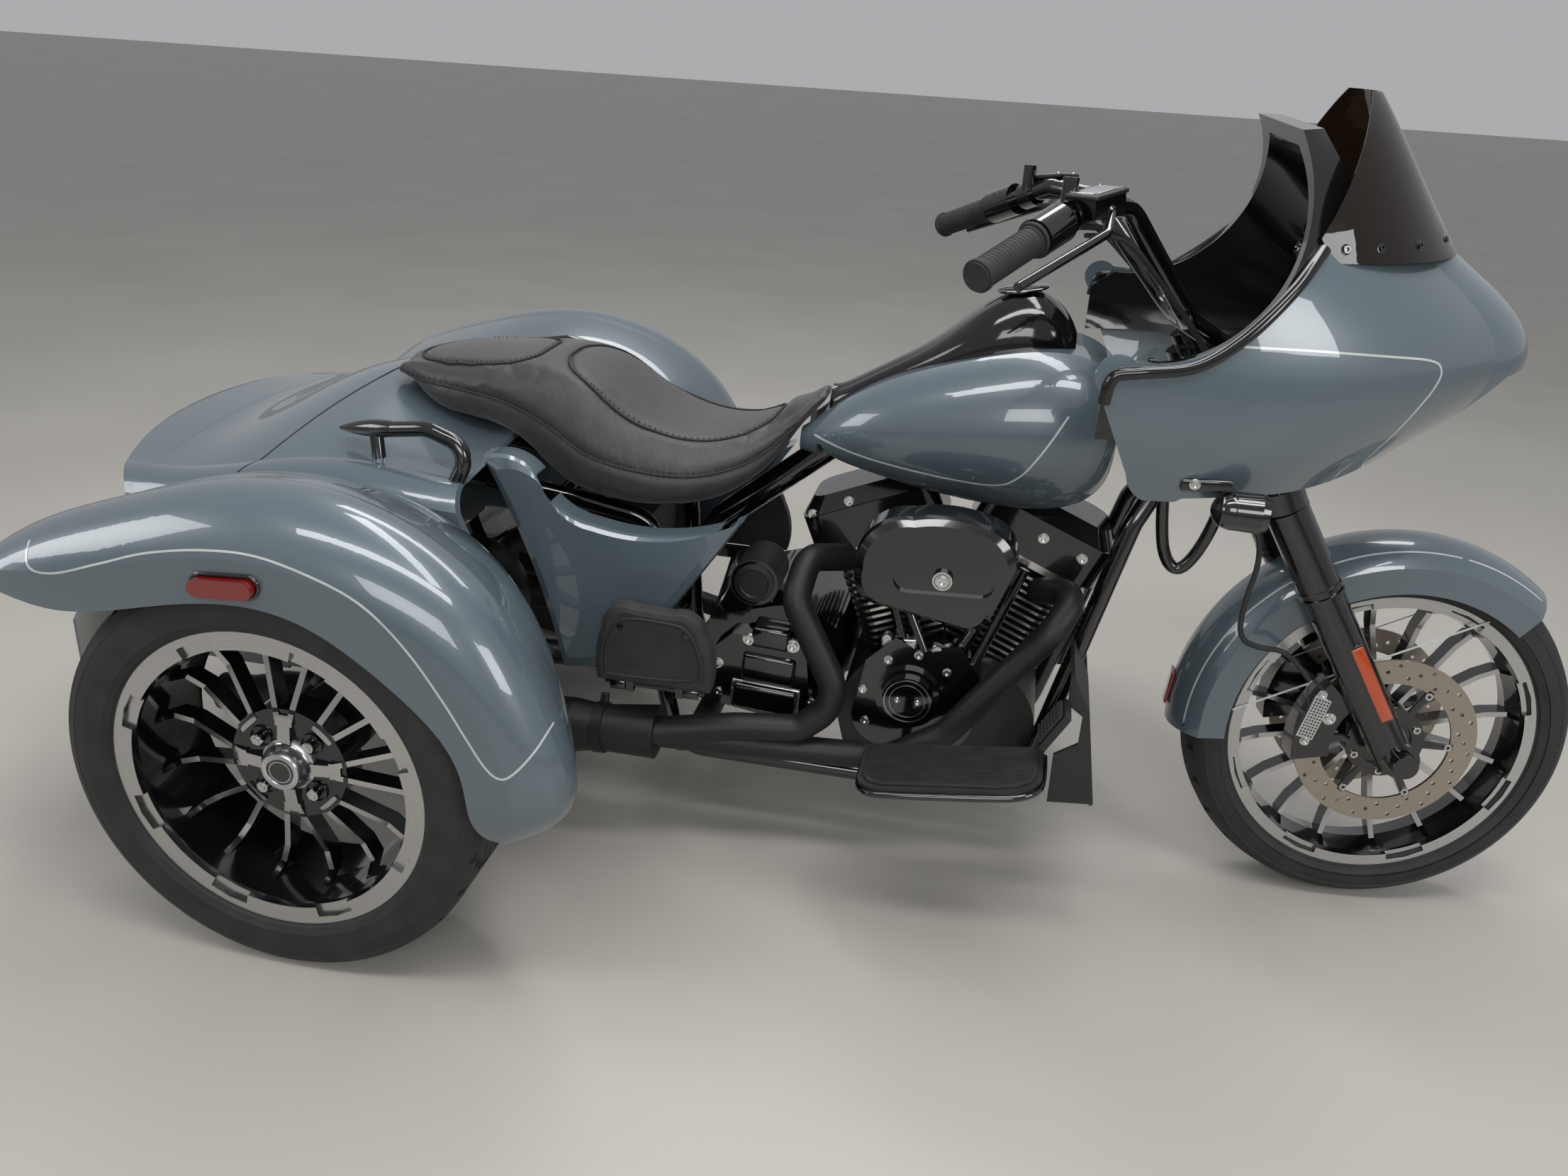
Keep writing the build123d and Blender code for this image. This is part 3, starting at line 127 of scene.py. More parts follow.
def two_tones(tree, shader, factor, dark, light):
    """Colour between two tones, by a value from 0 to 1."""
    mix = add_node(tree, "ShaderNodeMix", data_type="RGBA")
    tree.links.new(factor, mix.inputs[0])
    mix.inputs[6].default_value = linear(dark)
    mix.inputs[7].default_value = linear(light)
    tree.links.new(mix.outputs[2], shader.inputs["Base Color"])
    return mix


def cloudy(tree, size_mm, low, high):
    """Slow change over the surface between two values."""
    noise = add_node(tree, "ShaderNodeTexNoise", {"Vector": surface_point(tree), "Scale": 1000.0 / size_mm})
    return ranged(tree, noise.outputs[0], low, high, 0.3, 0.7)


# Finishes

def coloured(name, cloud_mm, dark, light, texture=None, **finish):
    """A finish that drifts between two tones, with a fine texture of (size, height, detail, strength)."""
    material, tree, shader = start_material(name, **finish)
    two_tones(tree, shader, cloudy(tree, cloud_mm, 0.0, 1.0), dark, light)
    if texture:
        grain(tree, shader, *texture)
    return material


def blue_grey_enamel():
    """Two-coat vehicle enamel: a solid blue-grey under clear lacquer, with a faint orange peel."""
    return coloured("blue_grey_enamel", 260, "#4d5b62", "#535f66", (9, 0.02, 1.0, 0.25),
                    Roughness=0.32, Coat_Weight=1.0, Coat_Roughness=0.025, Metallic=0.12)


def black_enamel():
    """Gloss black lacquered metal: near-black with a hard, wet reflection."""
    return coloured("black_enamel", 120, "#060607", "#0a0a0b", (14, 0.02, 1.0, 0.3),
                    Roughness=0.12, Coat_Weight=0.8, Coat_Roughness=0.03)


def black_powder_coat():
    """Satin powder coat: soft wide highlights from a fine baked texture."""
    return coloured("black_powder_coat", 80, "#151517", "#1d1d1f", (1.6, 0.05, 3.0, 0.5), Roughness=0.42)


def exhaust_black():
    """Heat-proof ceramic black: dull, with a faint brown bloom where it runs hot."""
    return coloured("exhaust_black", 150, "#171617", "#221f1e", (2.2, 0.04, 3.0, 0.5),
                    Roughness=0.5, Metallic=0.3)


def moulded_plastic():
    """Injection-moulded black ABS: its leather grain scatters the light to a soft grey."""
    return coloured("moulded_plastic", 60, "#1a1a1b", "#202021", (1.2, 0.12, 3.0, 0.7), Roughness=0.55)


def polished_plastic():
    """Polished black plastic: deep and glossy, a little softer than lacquer."""
    return coloured("polished_plastic", 160, "#0c0c0d", "#111112", (20, 0.02, 1.0, 0.3),
                    Roughness=0.1, Coat_Weight=0.3)


def tyre_rubber():
    """Vulcanised rubber: dark grey, with a faint bloom and fine mould grain."""
    return coloured("tyre_rubber", 45, "#161617", "#212122", (1.4, 0.08, 3.0, 0.6), Roughness=0.68)


def moulded_rubber():
    """Moulded grip and pad rubber: matte, with a dusty highlight."""
    return coloured("moulded_rubber", 30, "#1c1c1d", "#262627", (1.0, 0.1, 3.0, 0.6), Roughness=0.75)


def bright_zinc():
    """Bright zinc-plated screws: pale and slightly cloudy metal."""
    return coloured("bright_zinc", 6, "#b9babb", "#d6d6d4", Metallic=1.0, Roughness=0.22)


def pinstripe_enamel():
    """Hand-laid pale grey enamel line under the lacquer."""
    return coloured("pinstripe_enamel", 40, "#a7adac", "#b4b9b7", Roughness=0.25, Coat_Weight=1.0)


def brushed_steel():
    """Brushed stainless steel with a warm cast: short scratches that stretch its highlights."""
    material, tree, shader = start_material("brushed_steel", Metallic=1.0, Roughness=0.34)
    noise = add_node(tree, "ShaderNodeTexNoise", {
        "Vector": surface_point(tree, (1, 1, 14)), "Scale": 220.0, "Detail": 4.0})
    two_tones(tree, shader, noise.outputs[0], "#8f867c", "#b5aca0")
    bump = add_node(tree, "ShaderNodeBump", {
        "Height": noise.outputs[0], "Strength": 0.3, "Distance": 0.05 * MM})
    tree.links.new(bump.outputs[0], shader.inputs["Normal"])
    return material


def machined_alloy():
    """Cut aluminium: bright, with the fine rings that the tool leaves."""
    material, tree, shader = start_material("machined_alloy", Metallic=1.0, Roughness=0.28)
    noise = add_node(tree, "ShaderNodeTexNoise", {"Vector": surface_point(tree), "Scale": 900.0})
    two_tones(tree, shader, noise.outputs[0], "#b4b6b9", "#d3d4d6")
    return material


# Turns of the cutting tool along the radius, as radians a metre
TOOL_MARKS = 3500.0


def cut_wheel_alloy(name, joint, outward, depth_mm, hub_r_mm, hub_face_mm):
    """Gloss black cast wheel whose front edges are cut bright: black where a face looks
    sideways or lies deep, bare aluminium where it looks out along the axle."""
    material, tree, shader = start_material(name, Coat_Weight=0.6, Coat_Roughness=0.04)
    axis = Vector(joint["axis"]) * (outward or 1)
    where = add_node(tree, "ShaderNodeTexCoord")
    facing = vector_maths(tree, "DOT_PRODUCT", where.outputs["Normal"], axis)
    centred = vector_maths(tree, "SUBTRACT", where.outputs["Object"], Vector(joint["pos_m"]))
    out = vector_maths(tree, "DOT_PRODUCT", centred, axis)
    if outward == 0:
        facing = maths(tree, "ABSOLUTE", facing)
        out = maths(tree, "ABSOLUTE", out)
    looks_out = ranged(tree, facing, 0.0, 1.0, 0.70, 0.80)
    across = vector_maths(tree, "CROSS_PRODUCT", centred, axis)
    radius = vector_maths(tree, "LENGTH", across)
    on_hub = maths(tree, "LESS_THAN", radius, hub_r_mm * MM)
    limit = ranged(tree, on_hub, depth_mm * MM, hub_face_mm * MM)
    far_out = maths(tree, "GREATER_THAN", out, limit)
    cut = maths(tree, "MULTIPLY", looks_out, far_out)
    tool_marks = maths(tree, "SINE", maths(tree, "MULTIPLY", radius, TOOL_MARKS))
    tone = ranged(tree, tool_marks, 0.35, 1.0, -1.0, 1.0)
    share = maths(tree, "MULTIPLY", cut, tone)
    two_tones(tree, shader, share, "#0c0c0e", "#d9d9d8")
    tree.links.new(cut, shader.inputs["Metallic"])
    tree.links.new(ranged(tree, cut, 0.14, 0.27), shader.inputs["Roughness"])
    return material


# Spacing of the seat's weave
WEAVE_MM = 5.0


def ribbed_vinyl():
    """Seat vinyl: a fine leather grain under a diagonal weave."""
    material, tree, shader = start_material("ribbed_vinyl", Roughness=0.5, Sheen_Weight=0.15)
    two_tones(tree, shader, cloudy(tree, 30, 0.0, 1.0), "#242122", "#2e2a2b")
    noise = add_node(tree, "ShaderNodeTexNoise", {"Vector": surface_point(tree), "Scale": 700.0, "Detail": 2.0})
    lines = []
    for turn in (45, -45):
        wave = add_node(tree, "ShaderNodeTexWave", {
            "Vector": surface_point(tree, turn=(0, 0, radians(turn))), "Scale": 1000 / WEAVE_MM / 6.28,
            "Distortion": 0.0}, wave_type="BANDS", bands_direction="X")
        lines.append(wave.outputs["Fac"])
    weave = maths(tree, "MULTIPLY", lines[0], lines[1])
    height = maths(tree, "ADD", noise.outputs[0], weave)
    bump = add_node(tree, "ShaderNodeBump", {"Height": height, "Strength": 0.6, "Distance": 0.35 * MM})
    tree.links.new(bump.outputs[0], shader.inputs["Normal"])
    return material


def smoked_acrylic():
    """Dark brown tinted acrylic sheet: clear, glossy, and it dims what is behind it."""
    return start_material("smoked_acrylic", Base_Color=linear("#3a2c22"), Roughness=0.02,
                          Transmission_Weight=0.85, IOR=1.49)[0]


def lens(name, colour, glow):
    """Moulded acrylic lens, with the fine flutes of its inner face."""
    material, tree, shader = start_material(
        name, Base_Color=linear(colour), Roughness=0.08, Transmission_Weight=glow, IOR=1.49, Coat_Weight=1.0)
    grain(tree, shader, 5, 0.3, detail=0.0, strength=0.25)
    return material


FRONT_SPIN = JOINTS["front_wheel_spin"]
REAR_SPIN = {"right": JOINTS["rear_wheel_right_spin"], "left": JOINTS["rear_wheel_left_spin"]}

FINISH = {
    "body_paint": blue_grey_enamel(),
    "gloss_black": black_enamel(),
    "satin_black": black_powder_coat(),
    "matte_black_plastic": moulded_plastic(),
    "gloss_black_plastic": polished_plastic(),
    "tyre": tyre_rubber(),
    "rubber": moulded_rubber(),
    "steel": brushed_steel(),
    "vinyl": ribbed_vinyl(),
    "smoked_screen": smoked_acrylic(),
    "red_lens": lens("red_lens_acrylic", "#7d1410", 0.25),
    "dark_lens": lens("dark_lens_acrylic", "#15161a", 0.5),
}
AMBER = lens("amber_reflector_acrylic", "#b4420c", 0.2)
STRIPE = pinstripe_enamel()
ZINC = bright_zinc()
BRIGHT = machined_alloy()
EXHAUST = exhaust_black()
# Nodes whose finish isn't their slot's
OWN_FINISH = {
    "front_rim": cut_wheel_alloy("cut_alloy_front", FRONT_SPIN, 0, 4, 60, 100),
    "rear_rim_right": cut_wheel_alloy("cut_alloy_right", REAR_SPIN["right"], -1, 8, 94, 36),
    "rear_rim_left": cut_wheel_alloy("cut_alloy_left", REAR_SPIN["left"], 1, 8, 94, 36),
    "mufflers": EXHAUST,
    "exhaust_headers": EXHAUST,
    "fairing_inner": FINISH["gloss_black_plastic"],
    "front_axle": FINISH["gloss_black"],
}


def finish_cad_nodes():
    """Gives each CAD node the finish of its slot, or its own."""
    FINISH["engine_black"] = fin_alloy()
    OWN_FINISH["rocker_covers"] = head_alloy()
    OWN_FINISH["crankcase"] = FINISH["satin_black"]
    for name, obj in NODES.items():
        finish = OWN_FINISH.get(name) or FINISH[SLOT_OF[name]]
        if obj.material_slots:
            for slot in obj.material_slots:
                slot.material = finish
        else:
            obj.data.materials.append(finish)


# Making pieces

def alone(obj):
    """Selects one object only."""
    bpy.ops.object.select_all(action="DESELECT")
    obj.select_set(True)
    bpy.context.view_layer.objects.active = obj
    return obj


def settle(obj, matrix=None):
    """Puts an object's place into its mesh, so that it sits at the origin unturned."""
    alone(obj)
    if matrix is not None:
        obj.matrix_world = matrix @ obj.matrix_world
    bpy.ops.object.transform_apply(location=True, rotation=True, scale=True)
    return obj


def joined(objs):
    """Joins pieces into the first one."""
    bpy.ops.object.select_all(action="DESELECT")
    for obj in objs:
        obj.select_set(True)
    bpy.context.view_layer.objects.active = objs[0]
    if len(objs) > 1:
        bpy.ops.object.join()
    return bpy.context.view_layer.objects.active


def placed(name, data):
    """A new object in the scene with this data."""
    obj = bpy.data.objects.new(name, data)
    bpy.context.scene.collection.objects.link(obj)
    return obj


def cleaned(obj, merge=0.0, outward=True):
    """Merges points that meet and turns the faces outwards."""
    alone(obj)
    bpy.ops.object.mode_set(mode="EDIT")
    bpy.ops.mesh.select_all(action="SELECT")
    if merge:
        bpy.ops.mesh.remove_doubles(threshold=merge)
    if outward:
        bpy.ops.mesh.normals_make_consistent(inside=False)
    bpy.ops.object.mode_set(mode="OBJECT")
    return obj


def applied(obj, kind, **settings):
    """Adds a modifier and applies it."""
    alone(obj)
    made = obj.modifiers.new(kind.title(), kind)
    for name, value in settings.items():
        setattr(made, name, value)
    bpy.ops.object.modifier_apply(modifier=made.name)
    return obj


def finish_piece(obj, name, body, slot, material=None, replaced=(), smooth=35):
    """Names a piece and gives it its body, finish (the slot's own by default) and shading."""
    obj.name = name
    obj.data.materials.clear()
    obj.data.materials.append(material or FINISH[slot])
    settle(obj)
    if smooth:
        bpy.ops.object.shade_smooth_by_angle(angle=radians(smooth))
    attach(obj, body)
    if replaced:
        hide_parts(*replaced)
    return obj


def turned(angle, axis="Z"):
    """A turn by an angle in degrees."""
    return Matrix.Rotation(radians(angle), 4, axis)


def towards(place, axis, turn=0.0):
    """The matrix that stands a piece drawn along Z at a place, along an axis."""
    axis = Vector(axis).normalized()
    stand = axis.to_track_quat("Z", "Y").to_matrix().to_4x4()
    return Matrix.Translation(Vector(place)) @ stand @ Matrix.Rotation(turn, 4, "Z")


def copies_at(model, matrices):
    """Copies of a model, each with its own mesh, joined; the model goes."""
    made = []
    for matrix in matrices:
        copy = placed(model.name + "_copy", model.data.copy())
        copy.data.transform(matrix)
        made.append(copy)
    bpy.data.objects.remove(model)
    return joined(made)


def spun(profile, steps):
    """A closed outline of (radius, height) turned about Z."""
    mesh = bpy.data.meshes.new("outline")
    mesh.from_pydata([(r, 0, z) for r, z in profile],
                     [(i, (i + 1) % len(profile)) for i in range(len(profile))], [])
    obj = placed("outline", mesh)
    alone(obj)
    bpy.ops.object.mode_set(mode="EDIT")
    bpy.ops.mesh.select_all(action="SELECT")
    bpy.ops.mesh.spin(steps=steps, angle=2 * pi, center=(0, 0, 0), axis=(0, 0, 1))
    bpy.ops.mesh.select_all(action="SELECT")
    bpy.ops.mesh.remove_doubles(threshold=0.00001)
    bpy.ops.mesh.normals_make_consistent(inside=False)
    bpy.ops.object.mode_set(mode="OBJECT")
    return obj


def band(inner, outer, length, ease=0.0, start=0.0, sides=48):
    """A round band standing on Z at a start height, its outer edges eased."""
    return spun([(inner, start), (outer, start + ease), (outer, start + length - ease),
                 (inner, start + length)], sides)


def cylinder(radius, length, sides=32, bevel=0.0, start=0.0):
    """A round bar standing on Z at a start height, with eased edges."""
    bpy.ops.mesh.primitive_cylinder_add(
        radius=radius, depth=length, vertices=sides, location=(0, 0, start + length / 2))
    obj = settle(bpy.context.object)
    if bevel:
        applied(obj, "BEVEL", width=bevel, segments=2, limit_method="ANGLE")
    return obj


def block(size, place, bevel=0.002, turn=(0, 0, 0), segments=3):
    """A block with rounded edges, at its size and place."""
    bpy.ops.mesh.primitive_cube_add(size=1, location=place, rotation=turn)
    obj = bpy.context.object
    obj.scale = size
    settle(obj)
    return applied(obj, "BEVEL", width=bevel, segments=segments, limit_method="ANGLE")


def hose(points, radius, sides=4):
    """A smooth round hose or wire through given points."""
    data = bpy.data.curves.new("hose", "CURVE")
    data.dimensions = "3D"
    data.bevel_depth = radius
    data.bevel_resolution = sides
    data.use_fill_caps = True
    data.resolution_u = 8
    line = data.splines.new("NURBS")
    line.points.add(len(points) - 1)
    for point, place in zip(line.points, points):
        point.co = (*place, 1)
    line.order_u = 3
    line.use_endpoint_u = True
    obj = placed("hose", data)
    alone(obj)
    bpy.ops.object.convert(target="MESH")
    return bpy.context.object


def screw(radius, height, socket=0.55, washer=0.0):
    """A socket screw: a round head with a hexagonal recess, on a washer."""
    head = cylinder(radius, height, 20)
    alone(head)
    bpy.ops.object.mode_set(mode="EDIT")
    edit = bmesh.from_edit_mesh(head.data)
    for face in edit.faces:
        face.select = face.normal.z > 0.9
    bmesh.update_edit_mesh(head.data)
    bpy.ops.mesh.inset(thickness=radius * 0.14)
    bpy.ops.mesh.inset(thickness=radius * (0.86 - socket))
    bpy.ops.mesh.extrude_region_move(TRANSFORM_OT_translate={"value": (0, 0, -height * 0.6)})
    bpy.ops.object.mode_set(mode="OBJECT")
    if washer:
        head = joined([head, cylinder(washer, height * 0.22, 24, 0.0003)])
    return head


# Tyres: tread blocks between four grooves, and a moulded sidewall
# (name, joint, tread r, shoulder r, flange r, rim half width, widest half, crown half, groove offsets)
TYRES = (
    ("front", "front_wheel_spin", 319, 296, 256.5, 54, 64.5, 20, (8,)),
    ("rear_right", "rear_wheel_right_spin", 325, 306, 247.5, 96, 107, 78, (14, 46)),
    ("rear_left", "rear_wheel_left_spin", 325, 306, 247.5, 96, 107, 78, (14, 46)),
)
GROOVE_HALF, GROOVE_DEEP = 3.0, 6.0


def tyre_profile(tread_r, shoulder_r, flange_r, rim_half, widest, crown, grooves):
    """Half outline from the middle of the tread to the bead, then mirrored."""
    half = [(tread_r, 0.0)]
    for at in grooves:
        half += [(tread_r, at - GROOVE_HALF), (tread_r - GROOVE_DEEP, at - GROOVE_HALF + 1),
                 (tread_r - GROOVE_DEEP, at + GROOVE_HALF - 1), (tread_r, at + GROOVE_HALF)]
    half += [(tread_r, crown * 0.8), (tread_r - 0.6, crown), (0.45 * tread_r + 0.55 * shoulder_r + 4,
             0.45 * crown + 0.55 * widest), (shoulder_r + 4, widest - 8.5), (shoulder_r - 2, widest - 4)]
    half += [(shoulder_r - 4, widest - 4.6), (shoulder_r - 12, widest - 1.4), (shoulder_r - 24, widest - 0.4)]
    half += [(flange_r + 16, widest - 2.6), (flange_r + 12, widest - 1.8), (flange_r + 8, widest - 4.2),
             (flange_r + 2, rim_half + 4), (flange_r, rim_half), (flange_r - 14, rim_half - 5)]
    whole = half + [(r, -h) for r, h in reversed(half[1:])]
    return [(r * MM, h * MM) for r, h in whole]


# Slanted cuts in the tread: steps round the tyre, one in four cut, and how far along the axle
# each row is set off
TREAD_STEPS = 120
TREAD_EVERY = 4
FRONT_ROW, REAR_ROW = 0.008, 0.02


def tyres():
    """Treads and sidewalls, with slanted cuts pressed into the tread."""
    for name, joint, *sizes in TYRES:
        tread_r = sizes[0] * MM
        obj = spun(tyre_profile(*sizes), TREAD_STEPS)
        alone(obj)
        bpy.ops.object.mode_set(mode="EDIT")
        edit = bmesh.from_edit_mesh(obj.data)
        row = REAR_ROW if "rear" in name else FRONT_ROW
        for face in edit.faces:
            middle = face.calc_center_median()
            step = int(degrees(atan2(middle.y, middle.x)) % 360 // (360 / TREAD_STEPS))
            on_tread = middle.to_2d().length > tread_r - 0.012 and face.normal.to_2d().length > 0.75
            slanted = (step + int(abs(middle.z) / row)) % TREAD_EVERY == 0
            face.select = on_tread and slanted and abs(middle.z) > 0.004
        bmesh.update_edit_mesh(obj.data)
        bpy.ops.mesh.inset(thickness=0.0022, depth=-0.004, use_individual=True)
        bpy.ops.object.mode_set(mode="OBJECT")
        spin = JOINTS[joint]
        settle(obj, towards(spin["pos_m"], spin["axis"]))
        node = "front_tyre" if name == "front" else "rear_tyre_" + name[5:]
        finish_piece(obj, "tread_tyre_" + name, BODY_OF[node], "tyre", replaced=[node], smooth=30)


# Studio and camera
FOCAL_PX = 1800.0
PHOTO_W = 2212
CAMERA_AT = (151.945, -2114.089, 1378.870)
CAMERA_YAW, CAMERA_PITCH, CAMERA_ROLL = -0.1716, 0.4164, -0.0622


def photo_camera():
    """The photograph's viewing place and angle."""
    place = Vector(CAMERA_AT) * MM + Vector((MID_X, 0, 0))
    ahead = Vector((sin(CAMERA_YAW) * cos(CAMERA_PITCH), cos(CAMERA_YAW) * cos(CAMERA_PITCH),
                    -sin(CAMERA_PITCH)))
    right = Vector((cos(CAMERA_YAW), -sin(CAMERA_YAW), 0))
    down = ahead.cross(right)
    side = cos(CAMERA_ROLL) * right + sin(CAMERA_ROLL) * down
    low = -sin(CAMERA_ROLL) * right + cos(CAMERA_ROLL) * down
    camera = placed("photo_camera", bpy.data.cameras.new("photo_camera"))
    camera.matrix_world = Matrix((
        (side.x, -low.x, -ahead.x, place.x), (side.y, -low.y, -ahead.y, place.y),
        (side.z, -low.z, -ahead.z, place.z), (0, 0, 0, 1)))
    camera.data.lens = 36 * FOCAL_PX / PHOTO_W
    camera.data.sensor_width = 36
    camera.data.sensor_fit = "HORIZONTAL"
    camera.data.clip_start = 0.01
    bpy.context.scene.camera = camera


# Soft lamps: (place, aimed at, width, depth, watts)
LAMPS = (
    ((0.2, -1.6, 3.6), (0.0, -0.2, 0.5), 3.6, 0.5, 55),
    ((0.2, 0.2, 3.9), (0.0, 0.0, 0.5), 3.6, 0.5, 50),
    ((0.2, 2.0, 3.6), (0.0, 0.2, 0.5), 3.6, 0.5, 40),
    ((-3.4, -1.6, 2.2), (-0.6, -0.2, 0.4), 1.4, 1.4, 30),
    ((3.6, -2.4, 2.2), (0.8, -0.1, 0.4), 1.4, 1.4, 45),
    ((0.4, -4.2, 2.4), (0.1, 0.0, 0.4), 2.4, 1.2, 50),
)


FLOOR_SIZE, FLOOR_Z = 60, -0.0012
# Strength of the even light: as it falls on the pieces, and as it is seen or mirrored
SKY_STRENGTH = (0.42, 0.5)


def studio():
    """A pale floor under long soft lamps."""
    bpy.ops.mesh.primitive_plane_add(size=FLOOR_SIZE, location=(0, 0, FLOOR_Z))
    floor = bpy.context.object
    floor.name = "studio_floor"
    floor.data.materials.append(coloured("pale_concrete", 700, "#a9a59e", "#b1ada6", Roughness=0.45))
    for place, target, width, depth, watts in LAMPS:
        data = bpy.data.lights.new("soft_lamp", "AREA")
        data.shape = "RECTANGLE"
        data.size, data.size_y, data.energy = width, depth, watts
        lamp = placed("soft_lamp", data)
        lamp.matrix_world = towards(place, Vector(place) - Vector(target))


def studio_air():
    """Even light all round, a little stronger where it is seen or mirrored."""
    world = bpy.data.worlds.new("studio_air")
    bpy.context.scene.world = world
    world.use_nodes = True
    tree = world.node_tree
    sky = tree.nodes["Background"]
    sky.inputs[0].default_value = linear("#e9ebee")
    paths = add_node(tree, "ShaderNodeLightPath")
    seen = paths.outputs["Is Camera Ray"]
    for kind in ("Is Glossy Ray", "Is Transmission Ray"):
        seen = maths(tree, "MAXIMUM", seen, paths.outputs[kind])
    tree.links.new(ranged(tree, seen, *SKY_STRENGTH), sky.inputs[1])
    bpy.context.scene.view_settings.view_transform = "Standard"


# Painted lines

def mid(x, y, z):
    """A point given in millimetres from the middle of the wheelbase."""
    return Vector((x * MM + MID_X, y * MM, z * MM))


def surface_of(node):
    """A searchable copy of a node's surface, its loose triangles merged."""
    mesh = bmesh.new()
    mesh.from_mesh(NODES[node].data)
    bmesh.ops.remove_doubles(mesh, verts=mesh.verts, dist=0.00002)
    tree = BVHTree.FromBMesh(mesh)
    mesh.free()
    return tree


def smooth_route(points, per_step=10):
    """Points along a smooth line through the given ones."""
    points = [Vector(p) for p in points]
    ends = [points[0] * 2 - points[1]] + points + [points[-1] * 2 - points[-2]]
    route = []
    for a, b, c, d in zip(ends, ends[1:], ends[2:], ends[3:]):
        for step in range(per_step):
            t = step / per_step
            route.append(0.5 * (2 * b + (c - a) * t + (2 * a - 5 * b + 4 * c - d) * t * t
                                + (3 * b - a - 3 * c + d) * t ** 3))
    return route + [points[-1]]


def laid_on(surface, route, aim):
    """Where each point of a route lands on a surface, looking along aim, and the normal there."""
    landed = []
    for point in route:
        along = aim(point) if callable(aim) else Vector(aim)
        hit, normal, _, _ = surface.ray_cast(point - along * 0.5, along)
        if hit is not None:
            landed.append((hit, normal if normal.dot(along) < 0 else -normal))
    return landed


def ribbon(landed, width, height=0.0005):
    """A thin raised strip along landed points."""
    verts, faces = [], []
    for i, (place, normal) in enumerate(landed):
        ahead = landed[min(i + 1, len(landed) - 1)][0] - landed[max(i - 1, 0)][0]
        side = ahead.cross(normal).normalized() * width / 2
        verts += [place + side + normal * 0.0003, place - side + normal * 0.0003]
        if i:
            faces.append((2 * i - 2, 2 * i - 1, 2 * i + 1, 2 * i))
    mesh = bpy.data.meshes.new("strip")
    mesh.from_pydata(verts, [], faces)
    obj = placed("strip", mesh)
    return applied(obj, "SOLIDIFY", thickness=height, offset=0)


STRIPE_W = 0.0032
# The routes of the painted lines, as (x, z) from mid wheelbase in millimetres, on the right side
FENDER_LINE = ((-1165, 660), (-1150, 632), (-1110, 630), (-1040, 653), (-960, 680), (-870, 696), (-790, 696),
               (-700, 672), (-640, 640), (-590, 588), (-545, 520), (-515, 468), (-490, 428), (-470, 412),
               (-450, 420), (-422, 455), (-405, 500))
FAIRING_LINE = ((425, 1026), (540, 1022), (660, 1012), (712, 1004), (728, 990), (724, 968), (700, 925),
                (668, 868), (660, 846), (668, 832))
TANK_LINE = ((-165, 752), (-60, 734), (60, 722), (140, 722), (176, 742), (205, 785), (240, 850))


def painted_lines():
    """The pale lines on the fenders, fairing and tank, each laid on its panel's surface."""
    for name, node, line in (("fender_line", "fender", FENDER_LINE),
                             ("fairing_line", "fairing_outer", FAIRING_LINE),
                             ("tank_line", "fuel_tank", TANK_LINE)):
        for word, side in SIDES:
            on = node + "_" + word if node == "fender" else node
            route = smooth_route([mid(x, side * 500, z) for x, z in line])
            obj = ribbon(laid_on(surface_of(on), route, (0, -side, 0)), STRIPE_W)
            finish_piece(obj, name + "_" + word, "chassis", "body_paint", STRIPE)


def front_fender_lines():
    """The pale line along each edge of the front fender, found by looking in at the axle."""
    stand = towards(FRONT_SPIN["pos_m"], FRONT_SPIN["axis"])
    surface = surface_of("front_fender")
    centre, axle = Vector(FRONT_SPIN["pos_m"]), Vector(FRONT_SPIN["axis"])

    def inward(point):
        """The way from a point straight to the axle's line."""
        flat = point - centre
        return -(flat - axle * flat.dot(axle)).normalized()

    def along_the_edge(pair):
        """How far round the wheel a landed point is."""
        return Vector((pair[0].x - centre.x, pair[0].z - centre.z)).angle_signed(Vector((-0.2, -1.0)))

    for word, side in SIDES:
        landed = []
        for turn in range(-40, 176, 2):
            point = stand @ turned(turn) @ Vector((0.45, 0, side * 0.055))
            hit, normal, _, _ = surface.ray_cast(point, inward(point))
            if hit is not None and (hit - centre).length > 0.33:
                landed.append((hit, normal if normal.dot(inward(point)) < 0 else -normal))
        landed.sort(key=along_the_edge)
        finish_piece(ribbon(landed, STRIPE_W), "front_fender_line_" + word, "steering", "body_paint", STRIPE)


# Seat: size of the cover's mesh, how far and in how many steps it may swell, and how far from a
# seam and how deep the valley is, in metres
VOXEL = 0.007
SWELL_CAP, SWELL_STEPS = 0.006, 12
SEAM_REACH, SEAM_DEEP = 0.02, 0.0045
# Seams in plan, as (x, y) from mid wheelbase on the right half, and on the side as (x, z)
DRIVER_SEAM = ((-232, 0), (-250, -52), (-330, -98), (-430, -122), (-520, -122), (-580, -96), (-606, -48),
               (-610, 0))
REAR_SEAM = ((-655, 0), (-662, -62), (-700, -98), (-780, -100), (-850, -76), (-885, -34), (-892, 0))
SIDE_SEAM = ((-200, 757), (-262, 706), (-340, 684), (-440, 684), (-530, 700), (-610, 742), (-690, 768),
             (-780, 778), (-900, 780))


